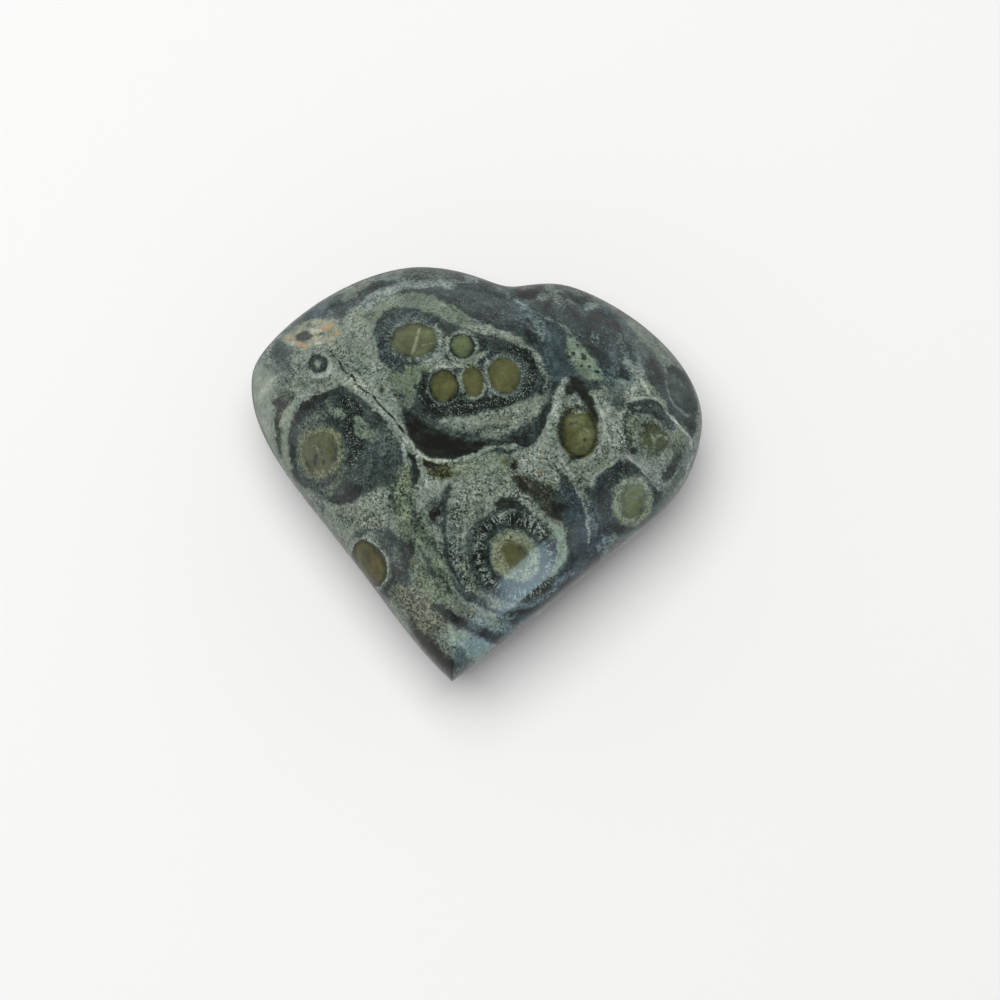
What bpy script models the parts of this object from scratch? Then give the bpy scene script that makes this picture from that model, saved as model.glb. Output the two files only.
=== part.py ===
"""A palm-sized heart cut from kambaba jasper and polished, lying on its back.

The tip points along -Y, the notch between the lobes along +Y and the domed face along +Z. The origin is the
middle of the stone's box, at the height of the flat spot that is ground under it.
"""

import bmesh
import bpy
import numpy as np
from mathutils import Vector
from mathutils.geometry import interpolate_bezier

MM = 0.001

# Driving dimensions
GIRDLE_HEIGHT = 10.5 * MM
FACE_RISE = 15.5 * MM
FACE_FULLNESS = 2.15
BACK_FULLNESS = 2.3
FLAT_SHARE = 0.45
CROWN = (0.0 * MM, 3.5 * MM)
CORNER_FADE = 0.085

# The outline seen from above, clockwise from the tip: each station's point, the handle
# that leads into it and the handle that leads out of it, in millimetres
TIP = ((1.6, -34.2), (5.8, -30.4), (-4.6, -29.6))
LEFT_FLANK = ((-15.0, -17.8), (-10.5, -22.6), (-24.2, -8.0))
LEFT_CHEEK = ((-35.7, 11.0), (-35.5, 1.0), (-35.9, 16.4))
LEFT_LOBE = ((-10.5, 32.0), (-22.8, 31.2), (-3.4, 32.5))
NOTCH = ((3.0, 30.2), (0.2, 30.2), (5.4, 30.2))
RIGHT_LOBE = ((13.0, 31.3), (8.8, 32.1), (21.0, 29.8))
RIGHT_CHEEK = ((35.7, 10.0), (36.1, 20.8), (35.4, -1.2))
RIGHT_FLANK = ((19.2, -16.0), (29.5, -4.6), (15.5, -20.0))
STATIONS = (TIP, LEFT_FLANK, LEFT_CHEEK, LEFT_LOBE, NOTCH, RIGHT_LOBE, RIGHT_CHEEK, RIGHT_FLANK)

# How finely the solid is faceted
FACE_RINGS = 30
BACK_RINGS = 14
FACET_SIZE = 1.45 * MM
CURVE_STEPS = 64
DOME_STEPS = 2000
FEWEST_CORNERS = 8

GREEN_GREY = (0.105, 0.125, 0.105, 1.0)
POLISH_ROUGHNESS = 0.15


def clear_scene():
    for thing in list(bpy.data.objects):
        bpy.data.objects.remove(thing)


def outline():
    """The girdle's points, close together and from the tip on, as complex numbers round the box's middle."""
    points = []
    for here, after in zip(STATIONS, STATIONS[1:] + STATIONS[:1]):
        knots = [Vector((x, y, 0.0)) * MM for x, y in (here[0], here[2], after[1], after[0])]
        points += [complex(p.x, p.y) for p in interpolate_bezier(*knots, CURVE_STEPS)[:-1]]
    points = np.array(points)
    across = points.real.max() + points.real.min()
    along = points.imag.max() + points.imag.min()
    return points - complex(across, along) / 2


def evenly(points, count):
    """The closed line through these points, read at evenly spaced places from its first point."""
    closed = np.append(points, points[0])
    gone = np.concatenate([[0.0], np.cumsum(np.abs(np.diff(closed)))])
    wanted = np.linspace(0.0, gone[-1], count, endpoint=False)
    return np.interp(wanted, gone, closed.real) + 1j * np.interp(wanted, gone, closed.imag)


def ring(girdle, share, count):
    """The girdle drawn in towards the crown: the further in, the rounder its tip and the shallower its notch."""
    crown = complex(*CROWN)
    waves = np.fft.fft(evenly(girdle, len(girdle)) - crown)
    order = np.abs(np.fft.fftfreq(len(girdle), 1 / len(girdle)))
    rounder = np.fft.ifft(waves * np.exp(-((order * CORNER_FADE * (1 - share)) ** 2)))
    return crown + share * evenly(rounder, count)


def dome_height(share, fullness):
    """How much of the dome's rise is left at this share of the way out from the crown."""
    return np.clip(1 - share**fullness, 0, 1) ** (1 / fullness)


def dome(girdle, rise, fullness, innermost, rings):
    """The shares and heights of rings that are evenly spaced down the dome, the innermost first."""
    angle = np.linspace(0, np.pi / 2, DOME_STEPS)
    share = innermost + (1 - innermost) * np.sin(angle)
    height = rise * dome_height(share, fullness)
    reach = np.abs(girdle).mean()
    gone = np.concatenate([[0.0], np.cumsum(np.hypot(np.diff(share) * reach, np.diff(height)))])
    wanted = np.linspace(0.0, gone[-1], rings + 1)
    return np.interp(wanted, gone, share), np.interp(wanted, gone, height)


def corners_of(girdle, share):
    """How many corners a ring has at this share of the way out, so that all facets are alike in size."""
    around = np.abs(np.diff(np.append(girdle, girdle[0]))).sum()
    return max(FEWEST_CORNERS, round(share * around / FACET_SIZE))


def place(mesh, points, height):
    return [mesh.verts.new((p.real, p.imag, height)) for p in points]


def stitch(mesh, inner, outer):
    """Fills the band between two rings with triangles that face away from the crown."""
    i = j = 0
    while i < len(inner) or j < len(outer):
        inner_next = (i + 1) / len(inner)
        outer_next = (j + 1) / len(outer)
        if j == len(outer) or (i < len(inner) and inner_next <= outer_next):
            corners = (inner[i], inner[(i + 1) % len(inner)], outer[j % len(outer)])
            i += 1
        else:
            corners = (inner[i % len(inner)], outer[(j + 1) % len(outer)], outer[j])
            j += 1
        mesh.faces.new(corners)


def add_face(mesh, girdle, edge):
    """The domed front, from the crown down to the girdle."""
    shares, heights = dome(girdle, FACE_RISE, FACE_FULLNESS, 0.0, FACE_RINGS)
    crown = mesh.verts.new((*CROWN, GIRDLE_HEIGHT + FACE_RISE))
    rings = []
    for share, height in zip(shares[1:-1], heights[1:-1]):
        points = ring(girdle, share, corners_of(girdle, share))
        rings.append(place(mesh, points, GIRDLE_HEIGHT + height))
    rings.append(edge)
    for here, after in zip(rings[0], rings[0][1:] + rings[0][:1]):
        mesh.faces.new((crown, after, here))
    for inner, outer in zip(rings, rings[1:]):
        stitch(mesh, inner, outer)


def add_back(mesh, girdle, edge):
    """The shallower back, from the girdle down to the flat spot, which is one face."""
    drop = GIRDLE_HEIGHT / dome_height(FLAT_SHARE, BACK_FULLNESS)
    shares, heights = dome(girdle, drop, BACK_FULLNESS, FLAT_SHARE, BACK_RINGS)
    heights[0] = GIRDLE_HEIGHT
    rings = []
    for share, height in zip(shares[:-1], heights[:-1]):
        points = ring(girdle, share, corners_of(girdle, share))
        rings.append(place(mesh, points, GIRDLE_HEIGHT - height))
    rings.append(edge)
    mesh.faces.new(rings[0])
    for inner, outer in zip(rings, rings[1:]):
        stitch(mesh, inner, outer)


def polished_jasper():
    material = bpy.data.materials.new("polished_jasper")
    material.use_nodes = True
    surface = material.node_tree.nodes["Principled BSDF"]
    surface.inputs["Base Color"].default_value = GREEN_GREY
    surface.inputs["Roughness"].default_value = POLISH_ROUGHNESS
    surface.inputs["Metallic"].default_value = 0.0
    return material


def make_heart():
    girdle = outline()
    mesh = bmesh.new()
    edge = place(mesh, ring(girdle, 1.0, corners_of(girdle, 1.0)), GIRDLE_HEIGHT)
    add_face(mesh, girdle, edge)
    add_back(mesh, girdle, edge)
    bmesh.ops.recalc_face_normals(mesh, faces=mesh.faces)
    shape = bpy.data.meshes.new("heart")
    mesh.to_mesh(shape)
    mesh.free()
    shape.shade_smooth()
    shape.materials.append(polished_jasper())
    heart = bpy.data.objects.new("heart", shape)
    bpy.context.scene.collection.objects.link(heart)
    return heart


def main():
    clear_scene()
    make_heart()


if __name__ == "__main__":
    main()
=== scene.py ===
"""The kambaba jasper heart in its polish: dark green-grey stone with ringed olive eyes and pale veins.

The stone's markings are drawn by name on the domed face, in pixels of a 1000 x 1000 picture taken by this
script's own camera, and run on round the sides and the back as eyes and bands scattered in the stone.
"""

import math

import bpy
import numpy as np
from bpy.props import FloatProperty, FloatVectorProperty, IntProperty, PointerProperty
from mathutils import Matrix, Vector
from mathutils.geometry import interpolate_bezier


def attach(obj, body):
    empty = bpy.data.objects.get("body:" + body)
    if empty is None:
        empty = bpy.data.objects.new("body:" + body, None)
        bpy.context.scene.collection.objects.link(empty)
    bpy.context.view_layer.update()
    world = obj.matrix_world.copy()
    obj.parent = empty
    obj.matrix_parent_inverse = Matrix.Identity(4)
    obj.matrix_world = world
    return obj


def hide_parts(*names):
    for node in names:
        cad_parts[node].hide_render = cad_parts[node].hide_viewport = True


bl_info = {
    "name": "Kambaba Jasper Heart",
    "version": (1, 0, 0),
    "blender": (4, 5, 0),
    "location": "View3D > Sidebar > Jasper Heart",
    "description": "Cuts, marks and polishes a heart of kambaba jasper",
    "category": "Object",
}

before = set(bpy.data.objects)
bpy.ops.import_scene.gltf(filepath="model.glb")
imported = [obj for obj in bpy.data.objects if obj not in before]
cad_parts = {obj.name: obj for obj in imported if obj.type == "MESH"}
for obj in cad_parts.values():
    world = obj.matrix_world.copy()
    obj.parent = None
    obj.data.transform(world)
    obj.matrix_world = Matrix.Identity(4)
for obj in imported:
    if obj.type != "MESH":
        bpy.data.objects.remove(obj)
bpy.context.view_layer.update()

MM = 0.001

# The stone's form, as in the solid that it stands for
GIRDLE_HEIGHT = 10.5 * MM
FACE_RISE = 15.5 * MM
FACE_FULLNESS = 2.15
BACK_FULLNESS = 2.3
FLAT_SHARE = 0.45
CROWN = (0.0 * MM, 3.5 * MM)
CORNER_FADE = 0.085
TIP = ((1.6, -34.2), (5.8, -30.4), (-4.6, -29.6))
LEFT_FLANK = ((-15.0, -17.8), (-10.5, -22.6), (-24.2, -8.0))
LEFT_CHEEK = ((-35.7, 11.0), (-35.5, 1.0), (-35.9, 16.4))
LEFT_LOBE = ((-10.5, 32.0), (-22.8, 31.2), (-3.4, 32.5))
NOTCH = ((3.0, 30.2), (0.2, 30.2), (5.4, 30.2))
RIGHT_LOBE = ((13.0, 31.3), (8.8, 32.1), (21.0, 29.8))
RIGHT_CHEEK = ((35.7, 10.0), (36.1, 20.8), (35.4, -1.2))
RIGHT_FLANK = ((19.2, -16.0), (29.5, -4.6), (15.5, -20.0))
STATIONS = (TIP, LEFT_FLANK, LEFT_CHEEK, LEFT_LOBE, NOTCH, RIGHT_LOBE, RIGHT_CHEEK, RIGHT_FLANK)
CURVE_STEPS = 64
DOME_STEPS = 2000
FEWEST_CORNERS = 8

# The fine surface: how far apart its points are, and how little a step down the wall counts
FACE_SPACING = 0.22 * MM
BACK_SPACING = 0.5 * MM
WALL_WEIGHT = 0.5

# The photograph's view
LENS = 85.0
SENSOR = 36.0
PICTURE = 1000
VIEW_ELEVATION = math.radians(72.0)
VIEW_AZIMUTH = math.radians(6.6)
VIEW_DISTANCE = 367.3 * MM
VIEW_TARGET = (5.56 * MM, -3.67 * MM, 10.5 * MM)

# How the markings wander, in pixels, and how long their waves are, in metres
WANDER = 1.8
WANDER_WAVE = 3.4 * MM
QUIVER = 1.3
QUIVER_WAVE = 1.3 * MM
RAGGED = 1.8
RAGGED_WAVE = 0.8 * MM
CURVE_PIECES = 7

# The stone shows the face's own markings where it looks at the camera by more than this
FACE_SHOWS = (0.1, 0.24)

# How soft the edges of an eye's rings are, and how far past a mark its reach is tested, in pixels
RING_EDGE = 1.6
MARK_MARGIN = 3.0
FAR_GAP = 90.0

# The markings that the photograph doesn't show
PIXELS_PER_MM = 6.3
HIDDEN_SEED = 11
HIDDEN_BEND = 3.0 * MM
HIDDEN_RIM_EYES = 11
HIDDEN_REACH = 36 * MM
HIDDEN_LIFT = 7 * MM
HIDDEN_BACK_EYES = 12
GOLDEN_ANGLE = 2.4
HIDDEN_EYE_RINGS = ((22, 30, "dim sage"), (14, 23, "slate"), (4, 15, "navy specks"), (0, 5, "sage"))

# The small open pit on the face, in the picture
PIT_PLACE = (436.5, 513.0)

# The low swelling on the right flank
SWELL_PLACE = (11.45 * MM, -11.44 * MM)
SWELL_SPREAD = (7.04 * MM, 12.0 * MM)
SWELL_TURN = math.radians(-7.7)

# The stone's colours, from black through slate and sage to cream, and what each tint multiplies them by
STONE_RAMP = (
    (0.0, (0.006, 0.0072, 0.0052)),
    (0.14, (0.0145, 0.0205, 0.0165)),
    (0.28, (0.035, 0.0525, 0.0475)),
    (0.44, (0.081, 0.109, 0.0965)),
    (0.6, (0.148, 0.192, 0.165)),
    (0.8, (0.275, 0.325, 0.287)),
    (1.0, (0.5, 0.545, 0.5)),
)
TINTS = (
    ("moss", (1.2, 0.96, 0.38)),
    ("mint", (0.95, 1.04, 0.88)),
    ("warm", (1.25, 0.98, 0.78)),
    ("blue", (0.82, 1.0, 1.36)),
)

# How the grains, clouds, dust and needles break the rock up
GRAIN_SIZE = 0.36 * MM
CRUMB_SHARE = 0.58
CRUMB_EDGE = (0.42, 0.56)
CRUMB_MIDDLE = 0.52
CRUMB_LEAN = 0.4
CRUMB_FILL = 1.25
COBBLES = (0.72, 0.95)
COBBLE_GAP = 0.5
COBBLE_SIZE = 0.5 * MM
PATCHY_WAVE = 3.2 * MM
PATCHY = (0.6, 1.2)
CLOUD_WAVE = 2.6 * MM
CLOUD_DEPTH = 0.46
MOTTLE_WAVE = 0.95 * MM
MOTTLE_DEPTH = 0.4
DUST_WAVE = 0.19 * MM
DUST_DEPTH = 0.17
CRACKLE_WAVE = 1.1 * MM
CRACKLE_WIDTH = 0.034
CRACKLE_DEPTH = 0.8
MOSS_WAVE = 4.0 * MM
MOSS_DEPTH = 0.55
SPARK_SPACING = 0.4 * MM
SPARK_TONE = 0.32
RUST_FLAKE = 1.1 * MM
SPECK_SIZE = 0.2 * MM
SPECK_CLUMPS = 0.9 * MM
SPECK_TONE = 0.68
SPIKE_TONE = 0.75
NEEDLES_AROUND = 10.0
NEEDLE_PACE = 0.075
NEEDLE_WIDTH = 0.1
STREAKS_AROUND = 1.5
STREAK_PACE = 0.26
STREAK_DEPTH = 0.5
EYE_CALM = (-6.0, 3.0, 0.2, 1.0)
CORE_RIM = 5.0
CORE_SHADE = 0.1
GRAIN_DULLS = 0.05
RELIEF = 0.02 * MM
RELIEF_STRENGTH = 0.3

# The bake map: how it is spread, and where its two charts lie
MAP_REACH = 37.5 * MM
MAP_SPREAD = 0.25
FACE_MAP_SHARE = 0.36
FACE_MAP_PLACE = (0.45, 0.45)
BACK_MAP_SHARE = 0.12
BACK_MAP_PLACE = (0.86, 0.14)

# The stage
FLOOR_SIDE = 3.0
FLOOR_GAP = 0.02 * MM
SKY_LOW = 0.1
SKY_HIGH = 0.8
SKY_EDGE_LIGHT = 1.6
SKY_TOP_LIGHT = 0.3
SKY_UNDER_LIGHT = 0.75
KEY_PLACE = (-0.15, 0.1, 0.9)
KEY_SIZE = (0.9, 0.9)
KEY_COLOUR = (1.0, 0.995, 0.985)
WINDOW_PLACE = (0.501, -0.338, 0.145)
WINDOW_AIM = (0.01, -0.017, 0.02)
WINDOW_SIZE = (0.085, 0.437)
WINDOW_ROLL = math.radians(-2.16)
WINDOW_COLOUR = (0.58, 0.84, 1.0)

# What each kind of rock is like: how light it is, how grainy, and what tints it
FIELDS = ("tone", "grain", "needle", "speck", "moss", "mint", "warm", "rust", "blue")
ROCKS = {
    "sage": {"tone": 0.61, "grain": 0.5, "moss": 0.1},
    "dim sage": {"tone": 0.46, "grain": 0.5, "moss": 0.12},
    "smooth sage": {"tone": 0.6, "grain": 0.12, "moss": 0.15},
    # The left rim's smooth sage, made lighter as a painted sheen of the bright surroundings
    "rim sage": {"tone": 0.75, "grain": 0.12, "moss": 0.08, "warm": 0.05},
    # Grey-brown rock of the rims; down the right rim it is laid as a painted sheen
    "rim grey": {"tone": 0.58, "grain": 0.14, "warm": 0.14},
    "pale grains": {"tone": 0.61, "grain": 0.9, "moss": 0.1},
    "dull grains": {"tone": 0.49, "grain": 0.9, "moss": 0.12},
    "brown grains": {"tone": 0.5, "grain": 0.6, "moss": 0.22, "warm": 0.3},
    "cream": {"tone": 0.76, "grain": 0.75, "moss": 0.05, "warm": 0.05},
    "smooth cream": {"tone": 0.84, "grain": 0.15, "moss": 0.05},
    "soft cream": {"tone": 0.7, "grain": 0.2, "moss": 0.2},
    "tan": {"tone": 0.78, "grain": 0.25, "moss": 0.15, "warm": 0.45},
    "white": {"tone": 0.97, "grain": 0.2},
    "slate": {"tone": 0.275, "grain": 0.3},
    "smooth slate": {"tone": 0.275, "grain": 0.14},
    "light slate": {"tone": 0.42, "grain": 0.2},
    "specked slate": {"tone": 0.29, "grain": 0.25, "speck": 0.25},
    "dark slate": {"tone": 0.16, "grain": 0.25, "speck": 0.08},
    "deep slate": {"tone": 0.09, "grain": 0.25, "speck": 0.08},
    "navy specks": {"tone": 0.15, "grain": 0.2, "speck": 0.55, "blue": 0.3},
    "navy fuzz": {"tone": 0.18, "grain": 0.2, "speck": 0.4, "needle": 0.3, "blue": 0.3},
    "soot": {"tone": 0.04, "grain": 0.2, "speck": 1.0},
    "soot fuzz": {"tone": 0.01, "grain": 0.15, "speck": 1.0, "needle": 0.1},
    "pale fuzz": {"tone": 0.34, "grain": 0.3, "speck": 0.4, "needle": 0.32},
    "dim fuzz": {"tone": 0.22, "grain": 0.3, "speck": 0.5, "needle": 0.25},
    "threads": {"tone": 0.03, "grain": 0.15, "needle": 1.0},
    "black": {"tone": 0.19, "grain": 0.3, "speck": 0.15},
    "umber": {"tone": 0.02, "grain": 0.1, "speck": 0.1, "warm": 0.5},
    "brown": {"tone": 0.25, "grain": 0.3, "moss": 0.1, "warm": 0.6},
    "moss": {"tone": 0.53, "grain": 0.5, "moss": 0.18, "mint": 0.75},
    "deep moss": {"tone": 0.3, "grain": 0.4, "moss": 0.2, "mint": 0.8},
    "mint": {"tone": 0.49, "grain": 0.28, "moss": 0.16, "mint": 0.9},
    "light mint": {"tone": 0.63, "grain": 0.3, "moss": 0.13, "mint": 0.9},
    "bright mint": {"tone": 0.78, "grain": 0.3, "mint": 0.9, "blue": 0.25},
    "pale mint": {"tone": 0.57, "grain": 0.3, "moss": 0.12, "mint": 0.6},
    "teal": {"tone": 0.42, "grain": 0.4, "mint": 0.3, "blue": 0.3},
    "olive": {"tone": 0.38, "grain": 0.03, "moss": 0.95, "warm": 0.1},
    "amber eye": {"tone": 0.405, "grain": 0.03, "moss": 0.87, "warm": 0.25},
    "drop olive": {"tone": 0.39, "grain": 0.08, "moss": 0.85, "mint": 0.3},
    "drop light": {"tone": 0.5, "grain": 0.12, "moss": 0.75, "mint": 0.3},
    "dark olive": {"tone": 0.25, "grain": 0.4, "speck": 0.35, "moss": 0.8},
    "eye fringe": {"tone": 0.61, "grain": 0.45, "moss": 0.4, "mint": 0.1},
    "pale fringe": {"tone": 0.69, "grain": 0.45, "moss": 0.2, "mint": 0.5},
    "dim fringe": {"tone": 0.56, "grain": 0.45, "moss": 0.58, "mint": 0.1},
    "green eye": {"tone": 0.49, "grain": 0.03, "moss": 0.66, "mint": 0.1},
    "leaf eye": {"tone": 0.5, "grain": 0.06, "moss": 0.6, "mint": 1.0},
    "dim eye": {"tone": 0.38, "grain": 0.05, "moss": 0.75},
    "petal eye": {"tone": 0.36, "grain": 0.1, "moss": 0.72, "mint": 0.5},
    "brown eye": {"tone": 0.345, "grain": 0.02, "moss": 0.9, "warm": 1.0},
    "yellow": {"tone": 0.48, "grain": 0.45, "moss": 0.5, "warm": 0.2},
    "rust": {"tone": 0.55, "grain": 0.4, "moss": 0.3, "warm": 0.3, "rust": 1.0},
}


def band(rock, width, *points, edge=2.0, strength=1.0):
    """A strip of rock along a smooth line; width is its whole width, or one for each point."""
    return {
        "form": "band", "rock": rock, "width": width, "points": points,
        "edge": edge, "strength": strength,
    }


def patch(rock, *points, edge=3.0, strength=1.0):
    """A patch of rock inside a smooth outline."""
    return {"form": "patch", "rock": rock, "points": points, "edge": edge, "strength": strength}


def spot(rock, centre, radii, turn=0.0, edge=2.0, strength=1.0):
    """An oval of rock; turn is in degrees, clockwise in the picture."""
    return {
        "form": "spot", "rock": rock, "centre": centre, "radii": radii, "turn": turn,
        "edge": edge, "strength": strength,
    }


def eye(rock, centre, radii, turn=0.0, rings=(), ragged=0.3, edge=1.6, shade=CORE_SHADE):
    """An eye: a plain middle, darker by its edge, and rings of (from, to, rock) outwards from it."""
    return {
        "form": "eye", "rock": rock, "centre": centre, "radii": radii, "turn": turn,
        "rings": rings, "ragged": ragged, "edge": edge, "shade": shade,
    }


# Broad areas of the face, each laid over the ones before it
GROUND = {
    "all": patch("sage", (200, 200), (760, 200), (760, 760), (200, 760)),
    # Painted sheen: the left rim drawn lighter where it catches the bright surroundings, over its own
    # smooth sage
    "left rim": patch(
        "rim sage", (250, 372), (262, 362), (272, 372), (272, 392), (270, 410), (272, 430), (276, 450),
        (290, 478), (304, 500), (290, 500), (268, 466), (254, 432), (248, 400), edge=6),
    # Painted sheen: the upper rim wedge's slate drawn lighter where it catches the bright surroundings
    "upper rim wedge": patch(
        "light slate", (281, 336), (290, 326), (308, 311), (326, 299), (344, 291), (360, 295), (355, 305),
        (347, 313), (343, 319), (326, 318), (312, 320), (296, 327), edge=2.5),
    "upper rim wedge dark": patch(
        "slate", (330, 304), (346, 296), (356, 298), (350, 308), (342, 314), (334, 312), edge=4),
    "upper rim smear": patch(
        "smooth sage", (340, 299), (352, 288), (364, 283), (372, 285), (360, 294), (350, 300), edge=4,
        strength=0.8),
    "upper rim band": band("slate", (8, 9, 8), (362, 296), (377, 287), (393, 283), edge=3),
    "upper rim olive": patch(
        "smooth sage", (384, 281), (390, 272), (400, 267), (410, 266), (405, 277), (396, 282), edge=4,
        strength=0.8),
    "upper rim brown": band(
        "brown", (12, 15, 12), (408, 275), (432, 272), (460, 276), edge=4, strength=0.6),
    "upper right slate": patch(
        "slate", (455, 286), (500, 282), (560, 284), (612, 308), (640, 345), (628, 372), (606, 388),
        (580, 392), (566, 378), (556, 400), (540, 380), (536, 350), (500, 325), (462, 305)),
    "right cheek slate": patch(
        "slate", (640, 340), (668, 362), (690, 395), (697, 432), (684, 424), (664, 396), (648, 376),
        edge=3),
    "big cell": patch(
        "slate", (377, 330), (380, 312), (394, 296), (412, 289), (454, 289), (500, 304), (540, 332),
        (562, 372), (556, 402), (543, 430), (524, 447), (496, 452), (476, 455), (455, 461), (426, 455),
        (408, 434), (398, 402), (394, 378), (384, 358)),
    "left cell": patch(
        "slate", (288, 458), (289, 434), (302, 407), (324, 393), (342, 388), (360, 398), (382, 420),
        (398, 440), (405, 456), (398, 476), (384, 486), (362, 494), (352, 505), (336, 503), (322, 494),
        (298, 482)),
    "cell of the low eye": patch(
        "sage", (456, 488), (480, 478), (520, 482), (560, 505), (586, 545), (576, 570), (545, 600),
        (510, 618), (474, 606), (450, 578), (445, 530)),
    "flank slate": patch(
        "slate", (556, 470), (576, 488), (592, 520), (600, 556), (594, 586), (562, 608), (530, 628),
        (500, 646), (478, 657), (505, 625), (540, 600), (562, 560), (566, 520), edge=4),
    "moss field": patch(
        "moss", (388, 476), (402, 464), (414, 470), (416, 500), (430, 530), (444, 560), (452, 592),
        (440, 606), (418, 590), (404, 560), (396, 520)),
    "tip right teal": patch(
        "teal", (450, 646), (458, 640), (470, 646), (474, 660), (462, 674), (450, 668)),
}

# Bands and patches inside the big cell at the top
BIG_CELL = {
    "pale line over the top": band(
        "sage", (3, 5, 4, 4, 3), (366, 299), (387, 291.5), (405, 286.5), (422, 284.5), (444, 283),
        edge=1.5),
    "pale arc": band(
        "pale mint", (8, 10, 12, 16, 19, 17, 12), (374, 318), (382, 308), (394, 302.5), (411, 301),
        (432, 305), (453, 314), (472, 324), edge=3),
    "pale arc right": band(
        "sage", (12, 11, 10, 9, 8, 7), (470, 323), (487, 329), (505, 335), (520, 343), (533, 353),
        (542, 365), edge=2.5),
    "right grey": band("dim sage", (7, 9, 10), (542, 364), (549, 380), (544, 398)),
    "green left of the cluster": patch(
        "dim sage", (388, 372), (394, 376), (396, 388), (405, 397), (414, 399), (410, 409), (399, 405),
        (390, 390)),
    "mint between eyes": patch(
        "mint", (404, 365), (417, 365), (430, 361), (440, 364), (437, 370), (427, 375), (422, 382),
        (418, 391), (411, 398), (403, 396), (394, 386), (393, 376)),
    "ring of the top eye": band(
        "navy fuzz", (6, 8, 10, 12, 16, 17, 16, 14, 8), (440, 321), (425, 317.5), (411.5, 317.5),
        (398, 321), (387, 329), (384, 341), (387, 354), (394, 364), (401, 370), edge=2),
    "slate by the small eye": patch(
        "smooth slate", (440, 322), (450, 322), (454, 328), (450, 335), (443, 331)),
    "sage between the two eyes": band(
        "sage", (7, 8, 8, 7, 6), (441, 332), (445, 342), (443, 352), (436, 360), (425, 364), edge=2),
    "sage under the small eye": band(
        "sage", (7, 9, 9, 7), (438, 364), (454, 363), (470, 361), (484, 353), edge=2),
    "soot under the cluster": band(
        "soot fuzz", (9, 13, 16, 15, 14, 14, 14), (426, 376), (422, 390), (431, 403), (450, 408),
        (474, 406), (500, 401), (522, 393), edge=2.5),
    "soot right of the cluster": band(
        "soot fuzz", (14, 15, 14, 11), (522, 393), (530, 376), (524, 357), (506, 347), edge=2.5),
    "soot over the cluster": band("navy specks", (9, 8), (507, 347), (490, 345), edge=2),
    "fuzz right of the cluster": band(
        "dim fuzz", (6, 10, 10, 6), (514, 396), (523, 382), (523, 366), (514, 354), edge=5, strength=0.9),
    "umber under the soot": band(
        "dark slate", (4, 8, 8, 6), (424, 408), (446, 418), (470, 417), (496, 410), edge=3, strength=0.8),
    "lower dark": patch(
        "deep slate", (402, 408), (414, 416), (430, 422), (452, 433), (474, 440), (492, 444), (510, 442),
        (524, 436), (540, 420), (547, 406), (553, 412), (543, 430), (526, 446), (500, 452), (480, 453),
        (455, 460), (428, 455), (411, 438), edge=4),
    "lower black": patch(
        "umber", (414, 424), (430, 430), (446, 436), (460, 441), (464, 448), (450, 452), (434, 448),
        (420, 438), edge=10, strength=0.95),
    "lower smear": band("slate", (3, 5, 3), (436, 424), (452, 430), (468, 434), edge=5, strength=0.6),
    "lower sage": patch(
        "sage", (438, 420), (455, 416), (478, 412), (496, 408), (519, 402), (536, 394), (543, 401),
        (536, 416), (523, 427), (505, 436), (490, 438), (474, 434), (455, 430), edge=5),
    "lower sage warm": patch(
        "yellow", (478, 424), (506, 412), (512, 424), (490, 434), edge=8, strength=0.35),
    "lower sage streak": band(
        "dim sage", (4, 5, 4), (424, 421), (444, 430), (462, 438), edge=4, strength=0.6),
    "lower sage shade": band(
        "slate", (4, 6, 4), (470, 431), (490, 428), (508, 428), edge=4, strength=0.5),
    "umber crescent": band(
        "umber", (6, 11, 14, 11, 6), (410, 425), (421, 438), (436, 446), (452, 449), (465, 446), edge=4),
    "lower right rim": band(
        "dark slate", (6, 13, 14, 10, 6), (548, 406), (541, 423), (528, 438), (511, 448), (496, 451),
        edge=3),
    "dark streak a": band("dark slate", (3, 5, 4), (465, 310), (474, 315), (484, 320), edge=2),
    "dark streak b": band("dark slate", (4, 6, 4), (489, 322), (500, 325), (513, 328), edge=2),
    "dark streak c": spot("dark slate", (531, 337), (8, 4), 35, 3),
    "top right navy": patch(
        "smooth slate", (538, 324), (556, 328), (567, 344), (571, 366), (566, 382), (558, 388),
        (551, 372), (546, 356), (538, 340)),
}

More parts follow.
